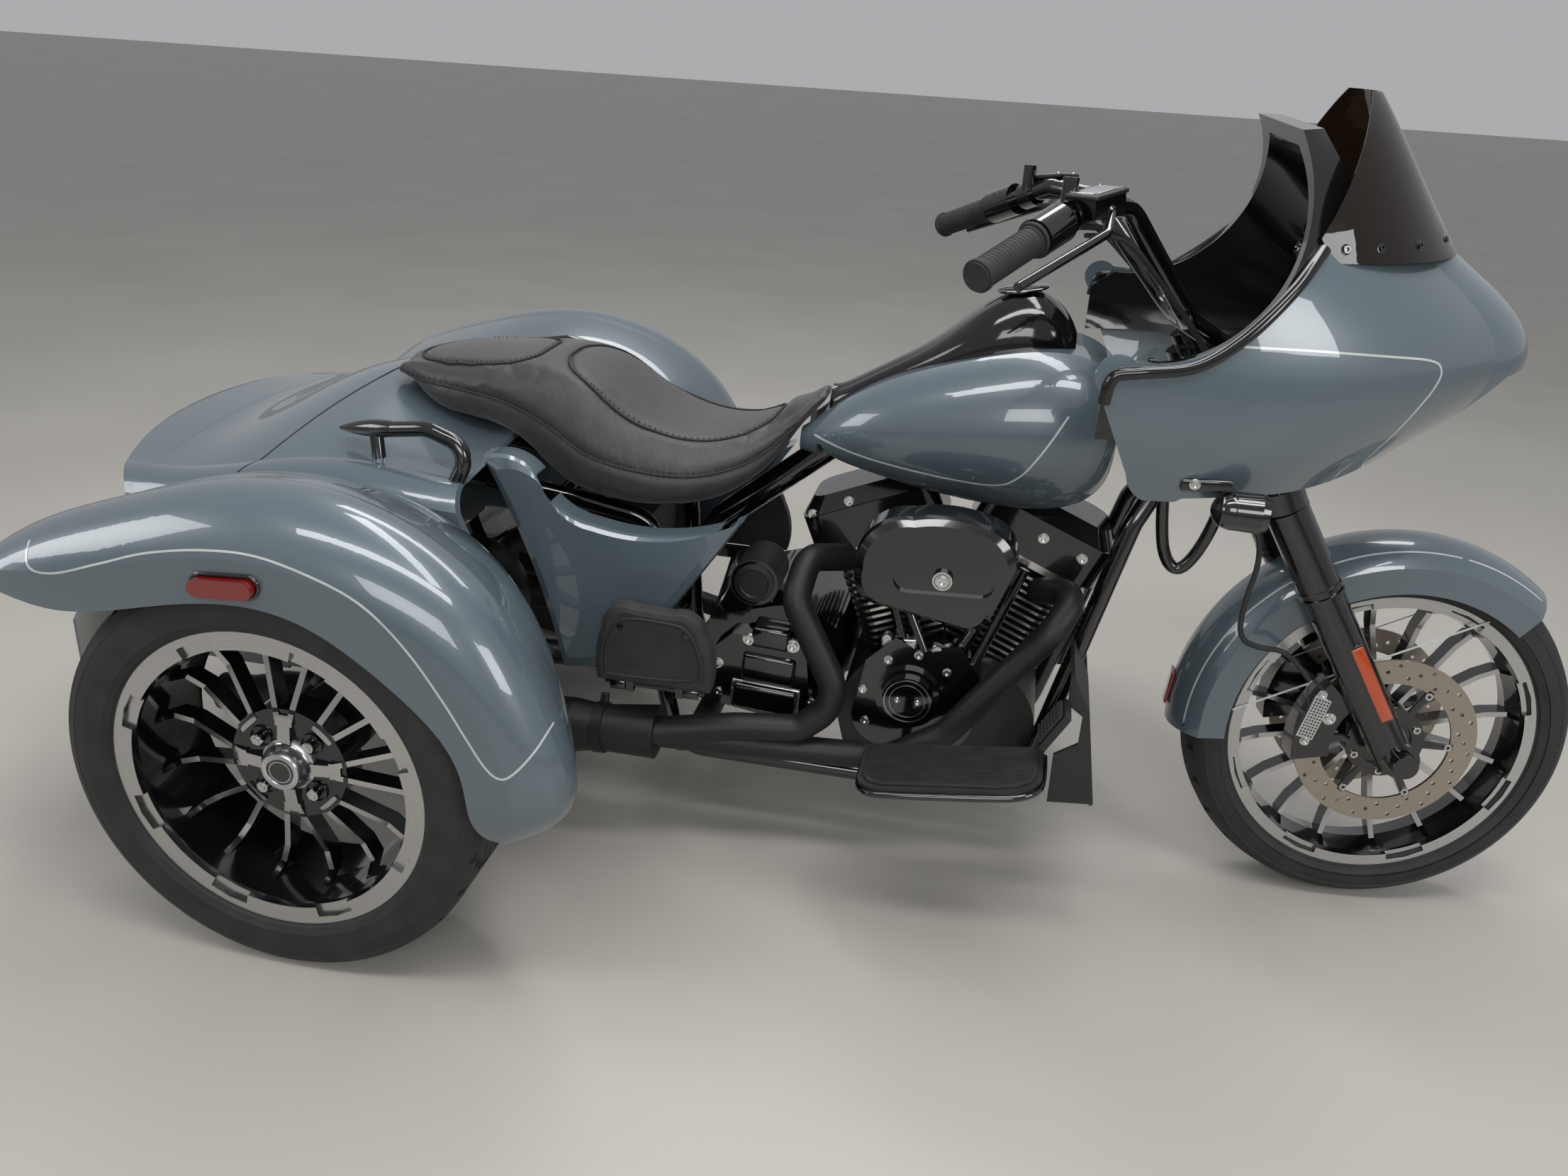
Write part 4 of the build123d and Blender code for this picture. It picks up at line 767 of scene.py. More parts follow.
def stuff(obj):
    """Swells the cover with cloth under pressure, no point further than the cap."""
    start = [v.co.copy() for v in obj.data.vertices]
    cloth = obj.modifiers.new("Cloth", "CLOTH")
    cloth.settings.use_pressure = True
    cloth.settings.uniform_pressure_force = 4
    cloth.settings.effector_weights.gravity = 0
    for step in range(1, SWELL_STEPS + 1):
        bpy.context.scene.frame_set(step)
    moved = obj.evaluated_get(bpy.context.evaluated_depsgraph_get()).data
    swollen = [v.co.copy() for v in moved.vertices]
    obj.modifiers.remove(cloth)
    bpy.context.scene.frame_set(1)
    for vertex, before, after in zip(obj.data.vertices, start, swollen):
        step = after - before
        vertex.co = before + step * min(1.0, SWELL_CAP / max(step.length, 1e-9))


def seat():
    """The two-up seat: a stuffed cover with sewn inserts, piped seams and stitches."""
    obj = cleaned(placed("two_up_seat", NODES["seat"].data.copy()), 0.00002, outward=False)
    applied(obj, "REMESH", mode="VOXEL", voxel_size=VOXEL)
    applied(obj, "SMOOTH", factor=0.5, iterations=6)
    stuff(obj)
    seams = {}
    surface = BVHTree.FromObject(obj, bpy.context.evaluated_depsgraph_get())
    for name, line in (("driver", DRIVER_SEAM), ("rear", REAR_SEAM)):
        half = [mid(x, y, 1000) for x, y in line]
        other = [Vector((p.x, -p.y, p.z)) for p in reversed(half[1:-1])]
        seams[name] = laid_on(surface, smooth_route(half + other + [half[0]]), (0, 0, -1))
    for word, side in SIDES:
        seams["side_" + word] = laid_on(
            surface, smooth_route([mid(x, side * 400, z) for x, z in SIDE_SEAM]), (0, -side, 0))
    applied(obj, "SUBSURF", levels=1, render_levels=1)
    pull_in_seams(obj, seams)
    finish_piece(obj, "two_up_seat_cover", "chassis", "vinyl", replaced=["seat"], smooth=60)
    for name, landed in seams.items():
        cord = hose([place - normal * 0.0012 for place, normal in landed], 0.0021)
        finish_piece(cord, "seat_piping_" + name, "chassis", "vinyl", FINISH["rubber"])
        stitches(name, landed)


def pull_in_seams(obj, seams):
    """Sinks the cover into a soft valley along each seam."""
    places = [place for landed in seams.values() for place, _ in landed]
    tree = KDTree(len(places))
    for i, place in enumerate(places):
        tree.insert(place, i)
    tree.balance()
    normals = [v.normal.copy() for v in obj.data.vertices]
    for vertex, normal in zip(obj.data.vertices, normals):
        away = tree.find(vertex.co)[2]
        if away < SEAM_REACH:
            vertex.co -= normal * SEAM_DEEP * (1 - away / SEAM_REACH) ** 2


def stitches(name, landed, spacing=0.0075, off=0.0065):
    """A row of thread stitches beside a seam."""
    places, run = [], 0.0
    for (a, normal), (b, _) in zip(landed, landed[1:]):
        ahead = b - a
        run += ahead.length
        if run >= spacing and ahead.length > 1e-6:
            run = 0.0
            side = ahead.cross(normal).normalized()
            place = a + side * off - normal * 0.0006
            places.append(Matrix.Translation(place) @ ahead.to_track_quat("Z", "Y").to_matrix().to_4x4())
    if places:
        bpy.ops.mesh.primitive_uv_sphere_add(segments=6, ring_count=4, radius=0.0009)
        thread = bpy.context.object
        thread.scale = (1, 1, 2.6)
        settle(thread)
        finish_piece(copies_at(thread, places), "seat_thread_" + name, "chassis", "vinyl", FINISH["rubber"])


# Brakes
DISC_R, DISC_BORE, DISC_THICK = 150, 108, 5.0
DISC_OUT = 72.0
DISC_LOW, DISC_HIGH = -DISC_THICK / 2 * MM, DISC_THICK / 2 * MM
# Rows of holes through the disc: (radius, hole radius, how many, turn of the row)
DISC_HOLES = ((119, 3.6, 15, 0), (129, 3.6, 15, 8), (140, 3.6, 15, 16))
# Rivets of the disc and bolts of its carrier: (circle's radius, turn)
RIVETS = ((104, 0), (54, 30))
CARRIER_ARMS = 6


def round_the_disc(radius, angle):
    """A place on a circle about the disc's middle, by millimetres and degrees."""
    return Matrix.Translation((radius * MM * cos(radians(angle)), radius * MM * sin(radians(angle)), 0))


def brake_discs():
    """Two drilled discs on black carriers, with bright rivets."""
    for word, side in SIDES:
        place = (towards(FRONT_SPIN["pos_m"], FRONT_SPIN["axis"])
                 @ Matrix.Translation((0, 0, side * DISC_OUT * MM)))
        disc = band(DISC_BORE * MM, DISC_R * MM, DISC_THICK * MM, start=DISC_LOW, sides=96)
        drills = [round_the_disc(radius, turn + 360 * step / count)
                  @ Matrix.Diagonal((size / 3.6, size / 3.6, 1, 1))
                  for radius, size, count, turn in DISC_HOLES for step in range(count)]
        drill = copies_at(cylinder(0.0036, 0.02, 10, start=-0.01), drills)
        applied(disc, "BOOLEAN", object=drill, operation="DIFFERENCE", solver="FAST")
        bpy.data.objects.remove(drill)
        finish_piece(settle(disc, place), "drilled_disc_" + word, "front_wheel", "steel",
                     replaced=["front_discs"])
        carrier = [band(44 * MM, 64 * MM, DISC_HIGH * 1.6 - DISC_LOW, start=DISC_LOW)]
        for step in range(CARRIER_ARMS):
            turn = 360 / CARRIER_ARMS * step
            carrier.append(block((0.056, 0.013, 0.0052), turned(turn) @ Vector((0.086, 0, 0)), 0.0012,
                                 (0, 0, radians(turn))))
        finish_piece(settle(joined(carrier), place), "disc_carrier_" + word, "front_wheel", "gloss_black")
        facing = Matrix.Diagonal((1, 1, side, 1))
        rivets = [place @ round_the_disc(radius, 360 / CARRIER_ARMS * step + tilt) @ facing
                  for step in range(CARRIER_ARMS) for radius, tilt in RIVETS]
        heads = cleaned(copies_at(screw(0.0062, 0.006), rivets))
        finish_piece(heads, "disc_rivets_" + word, "front_wheel", "steel", ZINC)


# Engine: crank's place, lean of each cylinder, reach of the fin edges, machined band up the cylinder
CRANK = (88, 0, 262)
V_HALF = 22.5
FIN_EDGE_R = 0.062
BAND_FROM, BAND_TO = 0.3255, 0.3385


def nearer_cylinder(tree):
    """For the cylinder that a point belongs to: its height up the cylinder, its distance from
    the cylinder's axis and how far its face turns to that axis."""
    where = add_node(tree, "ShaderNodeTexCoord")
    from_crank = vector_maths(tree, "SUBTRACT", where.outputs["Object"], mid(*CRANK))
    parts_of = add_node(tree, "ShaderNodeSeparateXYZ", {0: from_crank})
    side = maths(tree, "SIGN", parts_of.outputs[0])
    lean_x = maths(tree, "MULTIPLY", side, sin(radians(V_HALF)))
    line = add_node(tree, "ShaderNodeCombineXYZ", {0: lean_x, 2: cos(radians(V_HALF))}).outputs[0]
    height = vector_maths(tree, "DOT_PRODUCT", from_crank, line)
    across = vector_maths(tree, "CROSS_PRODUCT", from_crank, line)
    off = vector_maths(tree, "LENGTH", across)
    along = vector_maths(tree, "DOT_PRODUCT", where.outputs["Normal"], line)
    facing = maths(tree, "ABSOLUTE", along)
    return height, off, facing


def all_of(tree, *flags):
    """1 where every flag is 1."""
    return reduce(lambda total, flag: maths(tree, "MULTIPLY", total, flag), flags)


def partly_bright(tree, shader, cut, black, rough):
    """Black finish, and bare milled metal where cut is 1."""
    two_tones(tree, shader, cut, black, "#c4c3c0")
    tree.links.new(cut, shader.inputs["Metallic"])
    tree.links.new(ranged(tree, cut, rough, 0.25), shader.inputs["Roughness"])


def fin_alloy():
    """Black-painted fin castings whose edges are milled bright."""
    material, tree, shader = start_material("fin_alloy")
    _, off, facing = nearer_cylinder(tree)
    cut = all_of(tree, maths(tree, "LESS_THAN", facing, 0.3), maths(tree, "GREATER_THAN", off, FIN_EDGE_R))
    partly_bright(tree, shader, cut, "#121214", 0.42)
    grain(tree, shader, 1.2, 0.06, strength=0.5)
    return material


def head_alloy():
    """Gloss black rocker boxes above a bright machined band."""
    material, tree, shader = start_material("head_alloy", Coat_Weight=0.5, Coat_Roughness=0.04)
    height, _, facing = nearer_cylinder(tree)
    cut = all_of(tree, maths(tree, "LESS_THAN", facing, 0.5), maths(tree, "GREATER_THAN", height, BAND_FROM),
                 maths(tree, "LESS_THAN", height, BAND_TO))
    partly_bright(tree, shader, cut, "#0d0d0f", 0.14)
    return material


def surface_of_all(nodes):
    """One searchable surface of several nodes."""
    mesh = bmesh.new()
    for node in nodes:
        mesh.from_mesh(NODES[node].data)
    tree = BVHTree.FromBMesh(mesh)
    mesh.free()
    return tree


def screws_on(name, nodes, places, aim, body="chassis", finish=None, height=0.006):
    """Socket screws that sit on a surface: places are (point, radius), looking along aim."""
    surface = surface_of_all(nodes)
    made = []
    model = screw(0.01, 0.01, washer=0.0135)
    for point, radius in places:
        along = Vector(aim).normalized()
        hit = surface.ray_cast(Vector(point) - along * 0.3, along)[0]
        if hit is not None:
            size = radius / 0.01
            made.append(towards(hit + along * 0.0005, -along) @ Matrix.Diagonal((size, size, height / 0.01, 1)))
    if not made:
        bpy.data.objects.remove(model)
        return None
    return finish_piece(copies_at(model, made), name, body, "steel", finish or ZINC)


# Screws of the right side, as (x, z, head radius) from mid wheelbase in millimetres
GEARBOX_SCREWS = ((-240, 403, 9), (-163, 400, 9), (-294, 348, 8), (-291, 293, 6), (-234, 366, 5.5),
                  (-171, 367, 5.5), (-130, 288, 6), (-117, 262, 6))
CAM_SCREWS = ((1, 386, 6), (52, 402, 6), (103, 377, 6), (-39, 323, 6), (-30, 262, 6), (116, 276, 6),
              (136, 322, 6), (24, 322, 3.4), (59, 322, 3.4))
ROCKER_SCREWS = ((-99, 638, 7), (-160, 606, 7), (233, 618, 7), (300, 590, 7), (306, 526, 7), (20, 640, 6))
PRIMARY_SCREWS = ((-290, 330, 6), (-220, 385, 6), (-60, 378, 6), (90, 360, 6), (150, 270, 6), (60, 208, 6),
                  (-100, 222, 6), (-230, 250, 6))
FLANK_NODES = ("crankcase", "cam_cover", "transmission")


TO_LEFT, TO_RIGHT = (0, 1, 0), (0, -1, 0)
TIMING_RINGS = ((0.0405, 0.0016), (0.031, 0.0010))
# Pushrod feet, as (x, z), and the two bars over them, as (x, z, lean)
PUSHROD_FEET = ((-6, 422), (35, 412), (82, 412), (121, 398))
FOOT_BARS = ((15, 415, -8), (101, 405, 18))
# Raised parts of the gearbox's side: size and place in millimetres, edge radius, bevel steps
GEARBOX_COVERS = (((118, 18, 52), (-207, -176, 292), 12, 4), ((66, 30, 38), (-203, -162, 408), 6, 3),
                  ((94, 12, 50), (-203, -175, 350), 8, 3))
GEARBOX_LEAN = 3
STARTER_AT = (-240, 500)


def engine_screws():
    """Screws of the engine's and gearbox's covers."""
    flank = [(mid(x, -400, z), r * MM) for x, z, r in GEARBOX_SCREWS + CAM_SCREWS]
    screws_on("engine_screws", FLANK_NODES, flank, TO_LEFT)
    for name, side, aim in (("rocker_screws", -1, TO_LEFT), ("rocker_screws_left", 1, TO_RIGHT)):
        screws_on(name, ["rocker_covers", "cylinders"],
                  [(mid(x, side * 300, z), r * MM) for x, z, r in ROCKER_SCREWS], aim)
    screws_on("primary_screws", ["primary_cover"],
              [(mid(x, 400, z), r * MM) for x, z, r in PRIMARY_SCREWS], TO_RIGHT)


def air_cleaner_details():
    """The air cleaner's screw in a bright rim."""
    middle = mid(82, -400, 604)
    screws_on("air_cleaner_screw", ["air_cleaner"], [(middle, 0.0085)], TO_LEFT)
    hit = surface_of("air_cleaner").ray_cast(middle, Vector(TO_LEFT))[0]
    rim = settle(band(0.0125, 0.0155, 0.0016, sides=40), towards(hit + Vector((0, 0.0004, 0)), TO_RIGHT))
    finish_piece(rim, "air_cleaner_boss_rim", "chassis", "gloss_black", BRIGHT)


def timing_cover_rings():
    """Concentric bright rings on the round timing cover."""
    place = towards((mid(41, 0, 321).x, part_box("cam_cover")[0].y + 0.0004, 0.321), TO_RIGHT)
    rings = [settle(band(radius - width, radius, 0.0014, sides=72), place) for radius, width in TIMING_RINGS]
    finish_piece(joined(rings), "timing_cover_rings", "chassis", "gloss_black", BRIGHT)


def pushrod_clamps():
    """Bright clamps at the pushrods' feet."""
    clamps = [block((0.062, 0.016, 0.017), mid(x, -128, z), 0.003, (0, radians(lean), 0))
              for x, z, lean in FOOT_BARS]
    clamps += [settle(cylinder(0.009, 0.02, 24, 0.0015), towards(mid(x, -121, z), TO_RIGHT))
               for x, z in PUSHROD_FEET]
    finish_piece(joined(clamps), "pushrod_clamps", "chassis", "steel", BRIGHT)


def gearbox_details():
    """Raised gloss covers on the gearbox, one with a bright edge, and the starter's ribbed canister."""
    lean = (0, radians(GEARBOX_LEAN), 0)
    covers = [block([v * MM for v in size], mid(*place), ease * MM, lean, steps)
              for size, place, ease, steps in GEARBOX_COVERS]
    finish_piece(joined(covers), "gearbox_covers", "chassis", "gloss_black")
    edge = block((0.122, 0.006, 0.056), mid(-207, -172.5, 292), 0.002, lean)
    finish_piece(edge, "gearbox_cover_edge", "chassis", "gloss_black", BRIGHT)
    x, z = STARTER_AT
    canister = [settle(band(0.039, 0.0424, 0.004, 0.0006), towards(mid(x, y, z), TO_RIGHT))
                for y in range(-58, -150, -10)]
    cap = spun([(0, 0), (0.035, 0), (0.035, 0.003), (0.026, 0.005), (0.024, 0.003), (0, 0.003)], 48)
    canister.append(settle(cap, towards(mid(x, -151.5, z), TO_RIGHT)))
    finish_piece(joined(canister), "starter_canister_ribs", "chassis", "satin_black")


# Front end, drawn straight ahead and then turned with the bars
STEER = JOINTS["steering_head"]
PARKED_TURN, FORK_LEAN = 8.0, 32.0


def steered():
    """The turn from straight ahead to where the bars stand."""
    pivot = Vector(STEER["pos_m"])
    return (Matrix.Translation(pivot) @ Matrix.Rotation(radians(PARKED_TURN), 4, Vector(STEER["axis"]))
            @ Matrix.Translation(-pivot))


def fork_at(z, y, ahead=0.0):
    """A point on a fork leg's centre line by its height, drawn straight ahead."""
    return mid(836.5 - 6 - (z - 319) * tan(radians(FORK_LEAN)) + ahead, y, z)


# Heights of the fork's joint rings, and the caliper's screws as (x, z, head radius)
FORK_RING_Z = (600, 588, 720)
CALIPER_SCREWS = ((704, 408, 6), (692, 322, 6), (724, 366, 8))
# The front brake's hose, held by the fork, as points in millimetres from mid wheelbase
BRAKE_HOSE = ((560, -100, 770), (550, -112, 716), (572, -122, 646), (560, -126, 570), (562, -128, 505),
              (600, -128, 492), (645, -124, 494), (690, -112, 440))


def fork_reflectors(word, side):
    """An amber strip in a black frame on the fork leg's cover."""
    lean = (Matrix.Translation(fork_at(452, side * 148.5, 12)) @ turned(-FORK_LEAN, "Y")
            @ Matrix.Diagonal((1, -side, 1, 1)))
    for name, size, y, ease, slot, finish in (
            ("fork_reflector_", (0.02, 0.005, 0.142), 0, 0.0022, "red_lens", AMBER),
            ("fork_reflector_frame_", (0.025, 0.004, 0.150), 0.0015, 0.0018, "gloss_black", None)):
        strip = settle(block(size, (0, y, 0), ease), steered() @ lean)
        if side == 1:
            cleaned(strip)
        finish_piece(strip, name + word, "steering", slot, finish)


def fork_rings(word, side):
    """The joint rings of the slider and of its cover."""
    leg = (fork_at(500, 118) - fork_at(400, 118)).normalized()
    rings = [settle(band(0.0318, 0.0352, 0.006, 0.0008), steered() @ towards(fork_at(z, side * 118), leg))
             for z in FORK_RING_Z]
    finish_piece(joined(rings), "fork_rings_" + word, "steering", "gloss_black")


def caliper_details(word, side):
    """The caliper's screws and its bright drilled insert."""
    turn = steered()
    places = [(turn @ mid(x, side * 300, z), r * MM) for x, z, r in CALIPER_SCREWS]
    screws_on("caliper_screws_" + word, ["front_calipers", "fork_legs"], places,
              turn.to_3x3() @ Vector((0, -side, 0)), "steering")
    place = turn @ Matrix.Translation(mid(698, side * 105.2, 366)) @ turned(14, "Y")
    insert = settle(block((0.030, 0.004, 0.078), (0, 0, 0), 0.0015), place)
    pits = [Matrix.Translation(((column - 2) * 0.0052, side * 0.0021, (row - 6) * 0.0055)) @ turned(90, "X")
            for column in range(5) for row in range(13)]
    holes = settle(copies_at(cylinder(0.0017, 0.0006, 8, start=-0.0003), pits), place)
    finish_piece(insert, "caliper_insert_" + word, "steering", "steel", BRIGHT)
    finish_piece(holes, "caliper_insert_holes_" + word, "steering", "gloss_black")


def front_end_details():
    """What the fork carries, and the brake's hose."""
    for word, side in SIDES:
        fork_reflectors(word, side)
        fork_rings(word, side)
        caliper_details(word, side)
    finish_piece(hose([mid(*p) for p in BRAKE_HOSE], 0.0045), "front_brake_hose", "steering", "rubber")


# Cockpit

# The fairing's rear edge on the right, as (x, z) from mid wheelbase
FAIRING_EDGE = ((270, 905), (268, 950), (276, 982), (308, 990), (378, 1002), (434, 1040), (490, 1100),
                (526, 1150))
# Dials on the dash: (y, z, radius)
DIALS = ((-58, 1070, 42), (58, 1070, 42), (-118, 1098, 22), (118, 1098, 22))
DASH_X = 0.590 + MID_X
# Screws of the screen as (x, z)
SCREEN_SCREWS = ((560, 1146), (610, 1148), (670, 1150), (725, 1152))


def fairing_rims():
    """The black bead along the fairing's rear edge."""
    surface = surface_of("fairing_outer")
    for word, side in SIDES:
        route = smooth_route([mid(x + 4, side * 700, z - 5) for x, z in FAIRING_EDGE], 8)
        landed = laid_on(surface, route, (0, -side, 0))
        rim = hose([place + normal * 0.001 for place, normal in landed], 0.0085)
        finish_piece(rim, "fairing_rim_" + word, "chassis", "gloss_black_plastic")


def speakers():
    """Round speakers in the dash, each with a ringed grille."""
    for word, side in SIDES:
        stand = towards((DASH_X, side * 0.172, 0.985), (-1, 0, 0.12))
        basin = spun([(0, 0), (0.066, 0), (0.070, 0.006), (0.066, 0.014), (0.058, 0.012), (0.054, 0.006),
                      (0, 0.005)], 64)
        finish_piece(settle(basin, stand), "speaker_" + word, "chassis", "matte_black_plastic",
                     FINISH["gloss_black_plastic"])
        rings = []
        for step in range(9):
            radius = 0.008 + step * 0.0055
            ring = spun([(radius - 0.0012, 0.005), (radius + 0.0012, 0.005), (radius, 0.0088)], 48)
            rings.append(settle(ring, stand))
        finish_piece(joined(rings), "speaker_grille_" + word, "chassis", "matte_black_plastic")


def dash():
    """Dials with plain marks, the display and the row of buttons under it."""
    bezels, faces, marks = [], [], []
    for y, z, radius in DIALS:
        stand = towards((DASH_X - 0.004, y * MM, z * MM), (-1, 0, 0.25))
        size = radius * MM
        bezels.append(settle(spun([(size - 0.004, 0), (size + 0.003, 0), (size + 0.003, 0.012),
                                   (size - 0.001, 0.014), (size - 0.004, 0.008)], 56), stand))
        faces.append(settle(cylinder(size - 0.003, 0.006, 48), stand))
        ticks = [stand @ turned(10 * step - 120) @ Matrix.Translation((0, size * 0.80, 0.0062))
                 for step in range(25)]
        marks.append(copies_at(block((0.0009, size * 0.1, 0.0006), (0, 0, 0), 0.0001), ticks))
        hand = block((0.0016, size * 0.7, 0.0012), (0, size * 0.28, 0.0075), 0.0003)
        marks.append(settle(hand, stand @ turned(105)))
    finish_piece(joined(bezels), "dial_bezels", "chassis", "gloss_black_plastic")
    finish_piece(joined(faces), "dial_faces", "chassis", "dark_lens", FINISH["matte_black_plastic"])
    finish_piece(joined(marks), "dial_marks", "chassis", "body_paint", STRIPE)
    display = block((0.012, 0.15, 0.092), mid(586, 0, 952), 0.004, (0, radians(-10), 0))
    finish_piece(display, "dash_display", "chassis", "dark_lens", FINISH["gloss_black_plastic"])
    buttons = block((0.014, 0.168, 0.012), mid(585, 0, 900), 0.004)
    finish_piece(buttons, "dash_buttons_bar", "chassis", "matte_black_plastic")


def screen_screws():
    """Screws that hold the screen to the fairing."""
    screen = surface_of("windscreen")
    for word, side in SIDES:
        landed = laid_on(screen, [mid(x, side * 600, z) for x, z in SCREEN_SCREWS], (0, -side, 0))
        places = [towards(hit - normal * 0.0004, normal) for hit, normal in landed]
        if places:
            heads = copies_at(screw(0.0052, 0.0035, washer=0.0075), places)
            finish_piece(heads, "screen_screws_" + word, "chassis", "gloss_black")


# Controls on the bars: the right grip's ends, and the fluid box's place as a share of the grip
BAR_END = Vector((34, -419, 1074))
BAR_BEND = Vector((196, -215, 1163))
CLAMP_SHARE = 0.14
# The cables' way from the bar to the steering head, as (x, y, z) on the left
BAR_CABLE = ((180, 232, 1140), (214, 196, 1140), (262, 150, 1128), (330, 108, 1062), (392, 76, 1000),
             (430, 66, 952))


def bar_point(share, side):
    """A point on a grip's axis: 0 at the bend of the bar, 1 at its end."""
    place = BAR_BEND + (BAR_END - BAR_BEND) * share
    return mid(place.x, -side * place.y, place.z)


def grip_rings(word, side):
    """The grip's end rings and its row of ribs."""
    outward = (bar_point(1, side) - bar_point(0, side)).normalized()
    rings = []
    for share, radius, long in ((0.53, 0.0245, 0.006), (0.56, 0.0215, 0.004), (0.985, 0.0222, 0.007)):
        ring = spun([(0.0196, 0), (radius - 0.001, 0), (radius, 0.001), (radius, long - 0.001),
                     (radius - 0.001, long), (0.0196, long)], 48)
        rings.append(settle(ring, steered() @ towards(bar_point(share, side), outward)))
    for step in range(14):
        ring = band(0.0194, 0.0204, 0.0036, 0.0008, sides=40)
        rings.append(settle(ring, steered() @ towards(bar_point(0.60 + 0.026 * step, side), outward)))
    finish_piece(joined(rings), "grip_rings_" + word, "steering", "rubber")


def fluid_box(word, side):
    """The lid of the fluid box, with its bare panel and four screws."""
    place = (steered() @ Matrix.Translation(bar_point(CLAMP_SHARE, side) + Vector((0.024, side * 0.002, 0.008)))
             @ turned(-side * 52) @ turned(-8, "Y"))
    lid = block((0.088, 0.050, 0.007), (0, 0, 0.0183), 0.003)
    panel = block((0.070, 0.034, 0.0018), (0, 0, 0.0222), 0.0008)
    heads = copies_at(screw(0.0032, 0.0025), [Matrix.Translation((x, y, 0.0216))
                                              for x in (-0.036, 0.036) for y in (-0.018, 0.018)])
    for made, name, finish in ((lid, "fluid_box_lid_", None), (panel, "fluid_box_panel_", BRIGHT),
                               (heads, "fluid_box_screws_", ZINC)):
        finish_piece(settle(made, place), name + word, "steering", "satin_black", finish)


def switch_buttons(word, side):
    """Three buttons on the switch housing."""
    buttons = []
    for share, lift, size in ((0.34, 0.020, 0.011), (0.39, 0.022, 0.009), (0.44, 0.019, 0.010)):
        spot = bar_point(share, side) + Vector((-0.024, 0, lift - 0.012))
        buttons.append(settle(block((size, size * 1.3, 0.008), (0, 0, 0), 0.002),
                              steered() @ towards(spot, (-1, 0, 0.5))))
    finish_piece(joined(buttons), "switch_buttons_" + word, "steering", "matte_black_plastic")


def bar_controls():
    """What each end of the bars carries, and its two cables."""
    for word, side in SIDES:
        grip_rings(word, side)
        fluid_box(word, side)
        switch_buttons(word, side)
        for offset, radius in ((0, 0.0045), (11, 0.0035)):
            points = [steered() @ mid(x + offset, side * y, z - 10 - offset) for x, y, z in BAR_CABLE]
            finish_piece(hose(points, radius), "bar_cable_%s_%d" % (word, offset), "steering", "rubber")


# Small trim

def plate(outline, thick, bevel=0.0):
    """A flat plate of a closed outline of (x, y), standing on Z = 0."""
    data = bpy.data.curves.new("plate", "CURVE")
    data.dimensions = "2D"
    data.fill_mode = "BOTH"
    data.extrude = thick / 2
    line = data.splines.new("POLY")
    line.points.add(len(outline) - 1)
    for point, (x, y) in zip(line.points, outline):
        point.co = (x, y, 0, 1)
    line.use_cyclic_u = True
    obj = placed("plate", data)
    obj.location.z = thick / 2
    alone(obj)
    bpy.ops.object.convert(target="MESH")
    obj = settle(cleaned(bpy.context.object, 0.00002))
    if bevel:
        applied(obj, "BEVEL", width=bevel, segments=2, limit_method="ANGLE", angle_limit=radians(50))
    return obj


def loop_of(points, radius, matrix=None):
    """A closed round bead through points."""
    ring = [Vector(p) for p in points]
    obj = hose(ring + [ring[0]], radius, sides=3)
    return settle(obj, matrix) if matrix is not None else obj


def rounded_slot(length, width, steps=8):
    """Points round a slot with half-round ends, in millimetres."""
    points = []
    for centre, start in ((length / 2 - width / 2, -90), (width / 2 - length / 2, 90)):
        for step in range(steps + 1):
            angle = radians(start + 180 * step / steps)
            points.append((centre + width / 2 * cos(angle), width / 2 * sin(angle)))
    return points


# Rear wheel's cap as (radius, height) from the wheel's middle, outwards
CAP_PROFILE = ((0, 33.6), (43, 33.6), (42.4, 37), (38, 38.4), (35, 42), (33.4, 50), (32.4, 57), (29.6, 61.6),
               (25.4, 62.8), (22, 61.6), (21, 59.6), (0, 59.6))
NUT_CIRCLE = 58.0


def wheel_caps():
    """Turned caps with a bare dark middle, and four nuts in dark wells, on the rear wheels."""
    for word, side in SIDES:
        body = "rear_wheel_" + word
        stand = towards(REAR_SPIN[word]["pos_m"], (0, side, 0))
        cap = settle(spun([(r * MM, z * MM) for r, z in CAP_PROFILE], 64), stand)
        finish_piece(cap, "wheel_cap_" + word, body, "steel", BRIGHT)
        middle = cylinder(0.0205, 0.0012, 48, start=0.0595)
        finish_piece(settle(middle, stand), "wheel_cap_middle_" + word, body, "gloss_black")
        ring = band(0.0164, 0.0180, 0.0006, start=0.0606)
        finish_piece(settle(ring, stand), "wheel_cap_ring_" + word, body, "steel", BRIGHT)
        spots = [turned(45 + 90 * step) @ Matrix.Translation((NUT_CIRCLE * MM, 0, 0))
                 for step in range(4)]
        nut = cylinder(0.0098, 0.0158, 6, 0.0012, start=0.0338)
        tip = cylinder(0.0056, 0.0032, 20, 0.001, start=0.0490)
        nuts = settle(copies_at(joined([nut, tip]), spots), stand)
        finish_piece(nuts, "wheel_nuts_" + word, body, "steel", ZINC)
        well = spun([(0.0150, 0.0336), (0.0180, 0.0336), (0.0172, 0.0386), (0.0158, 0.0386)], 32)
        wells = settle(copies_at(well, spots), stand)
        finish_piece(wells, "nut_wells_" + word, body, "gloss_black")
        stem = joined([cylinder(0.0036, 0.026, 16), cylinder(0.0052, 0.010, 16, 0.0008, start=0.022)])
        settle(stem, towards((0.2085, 0, 0.060), (-0.35, 0, 1)))
        finish_piece(settle(stem, stand @ turned(64)), "valve_stem_" + word, body, "rubber")


# Rider's board, in its own plane: x from its middle, y outwards
BOARD_MIDDLE = (133, 290)
BOARD_TILT = -8.0
MAT = ((-137, 270), (137, 270), (137, 352), (128, 376), (106, 390), (76, 395), (-106, 395), (-126, 388),
       (-135, 372), (-137, 352))
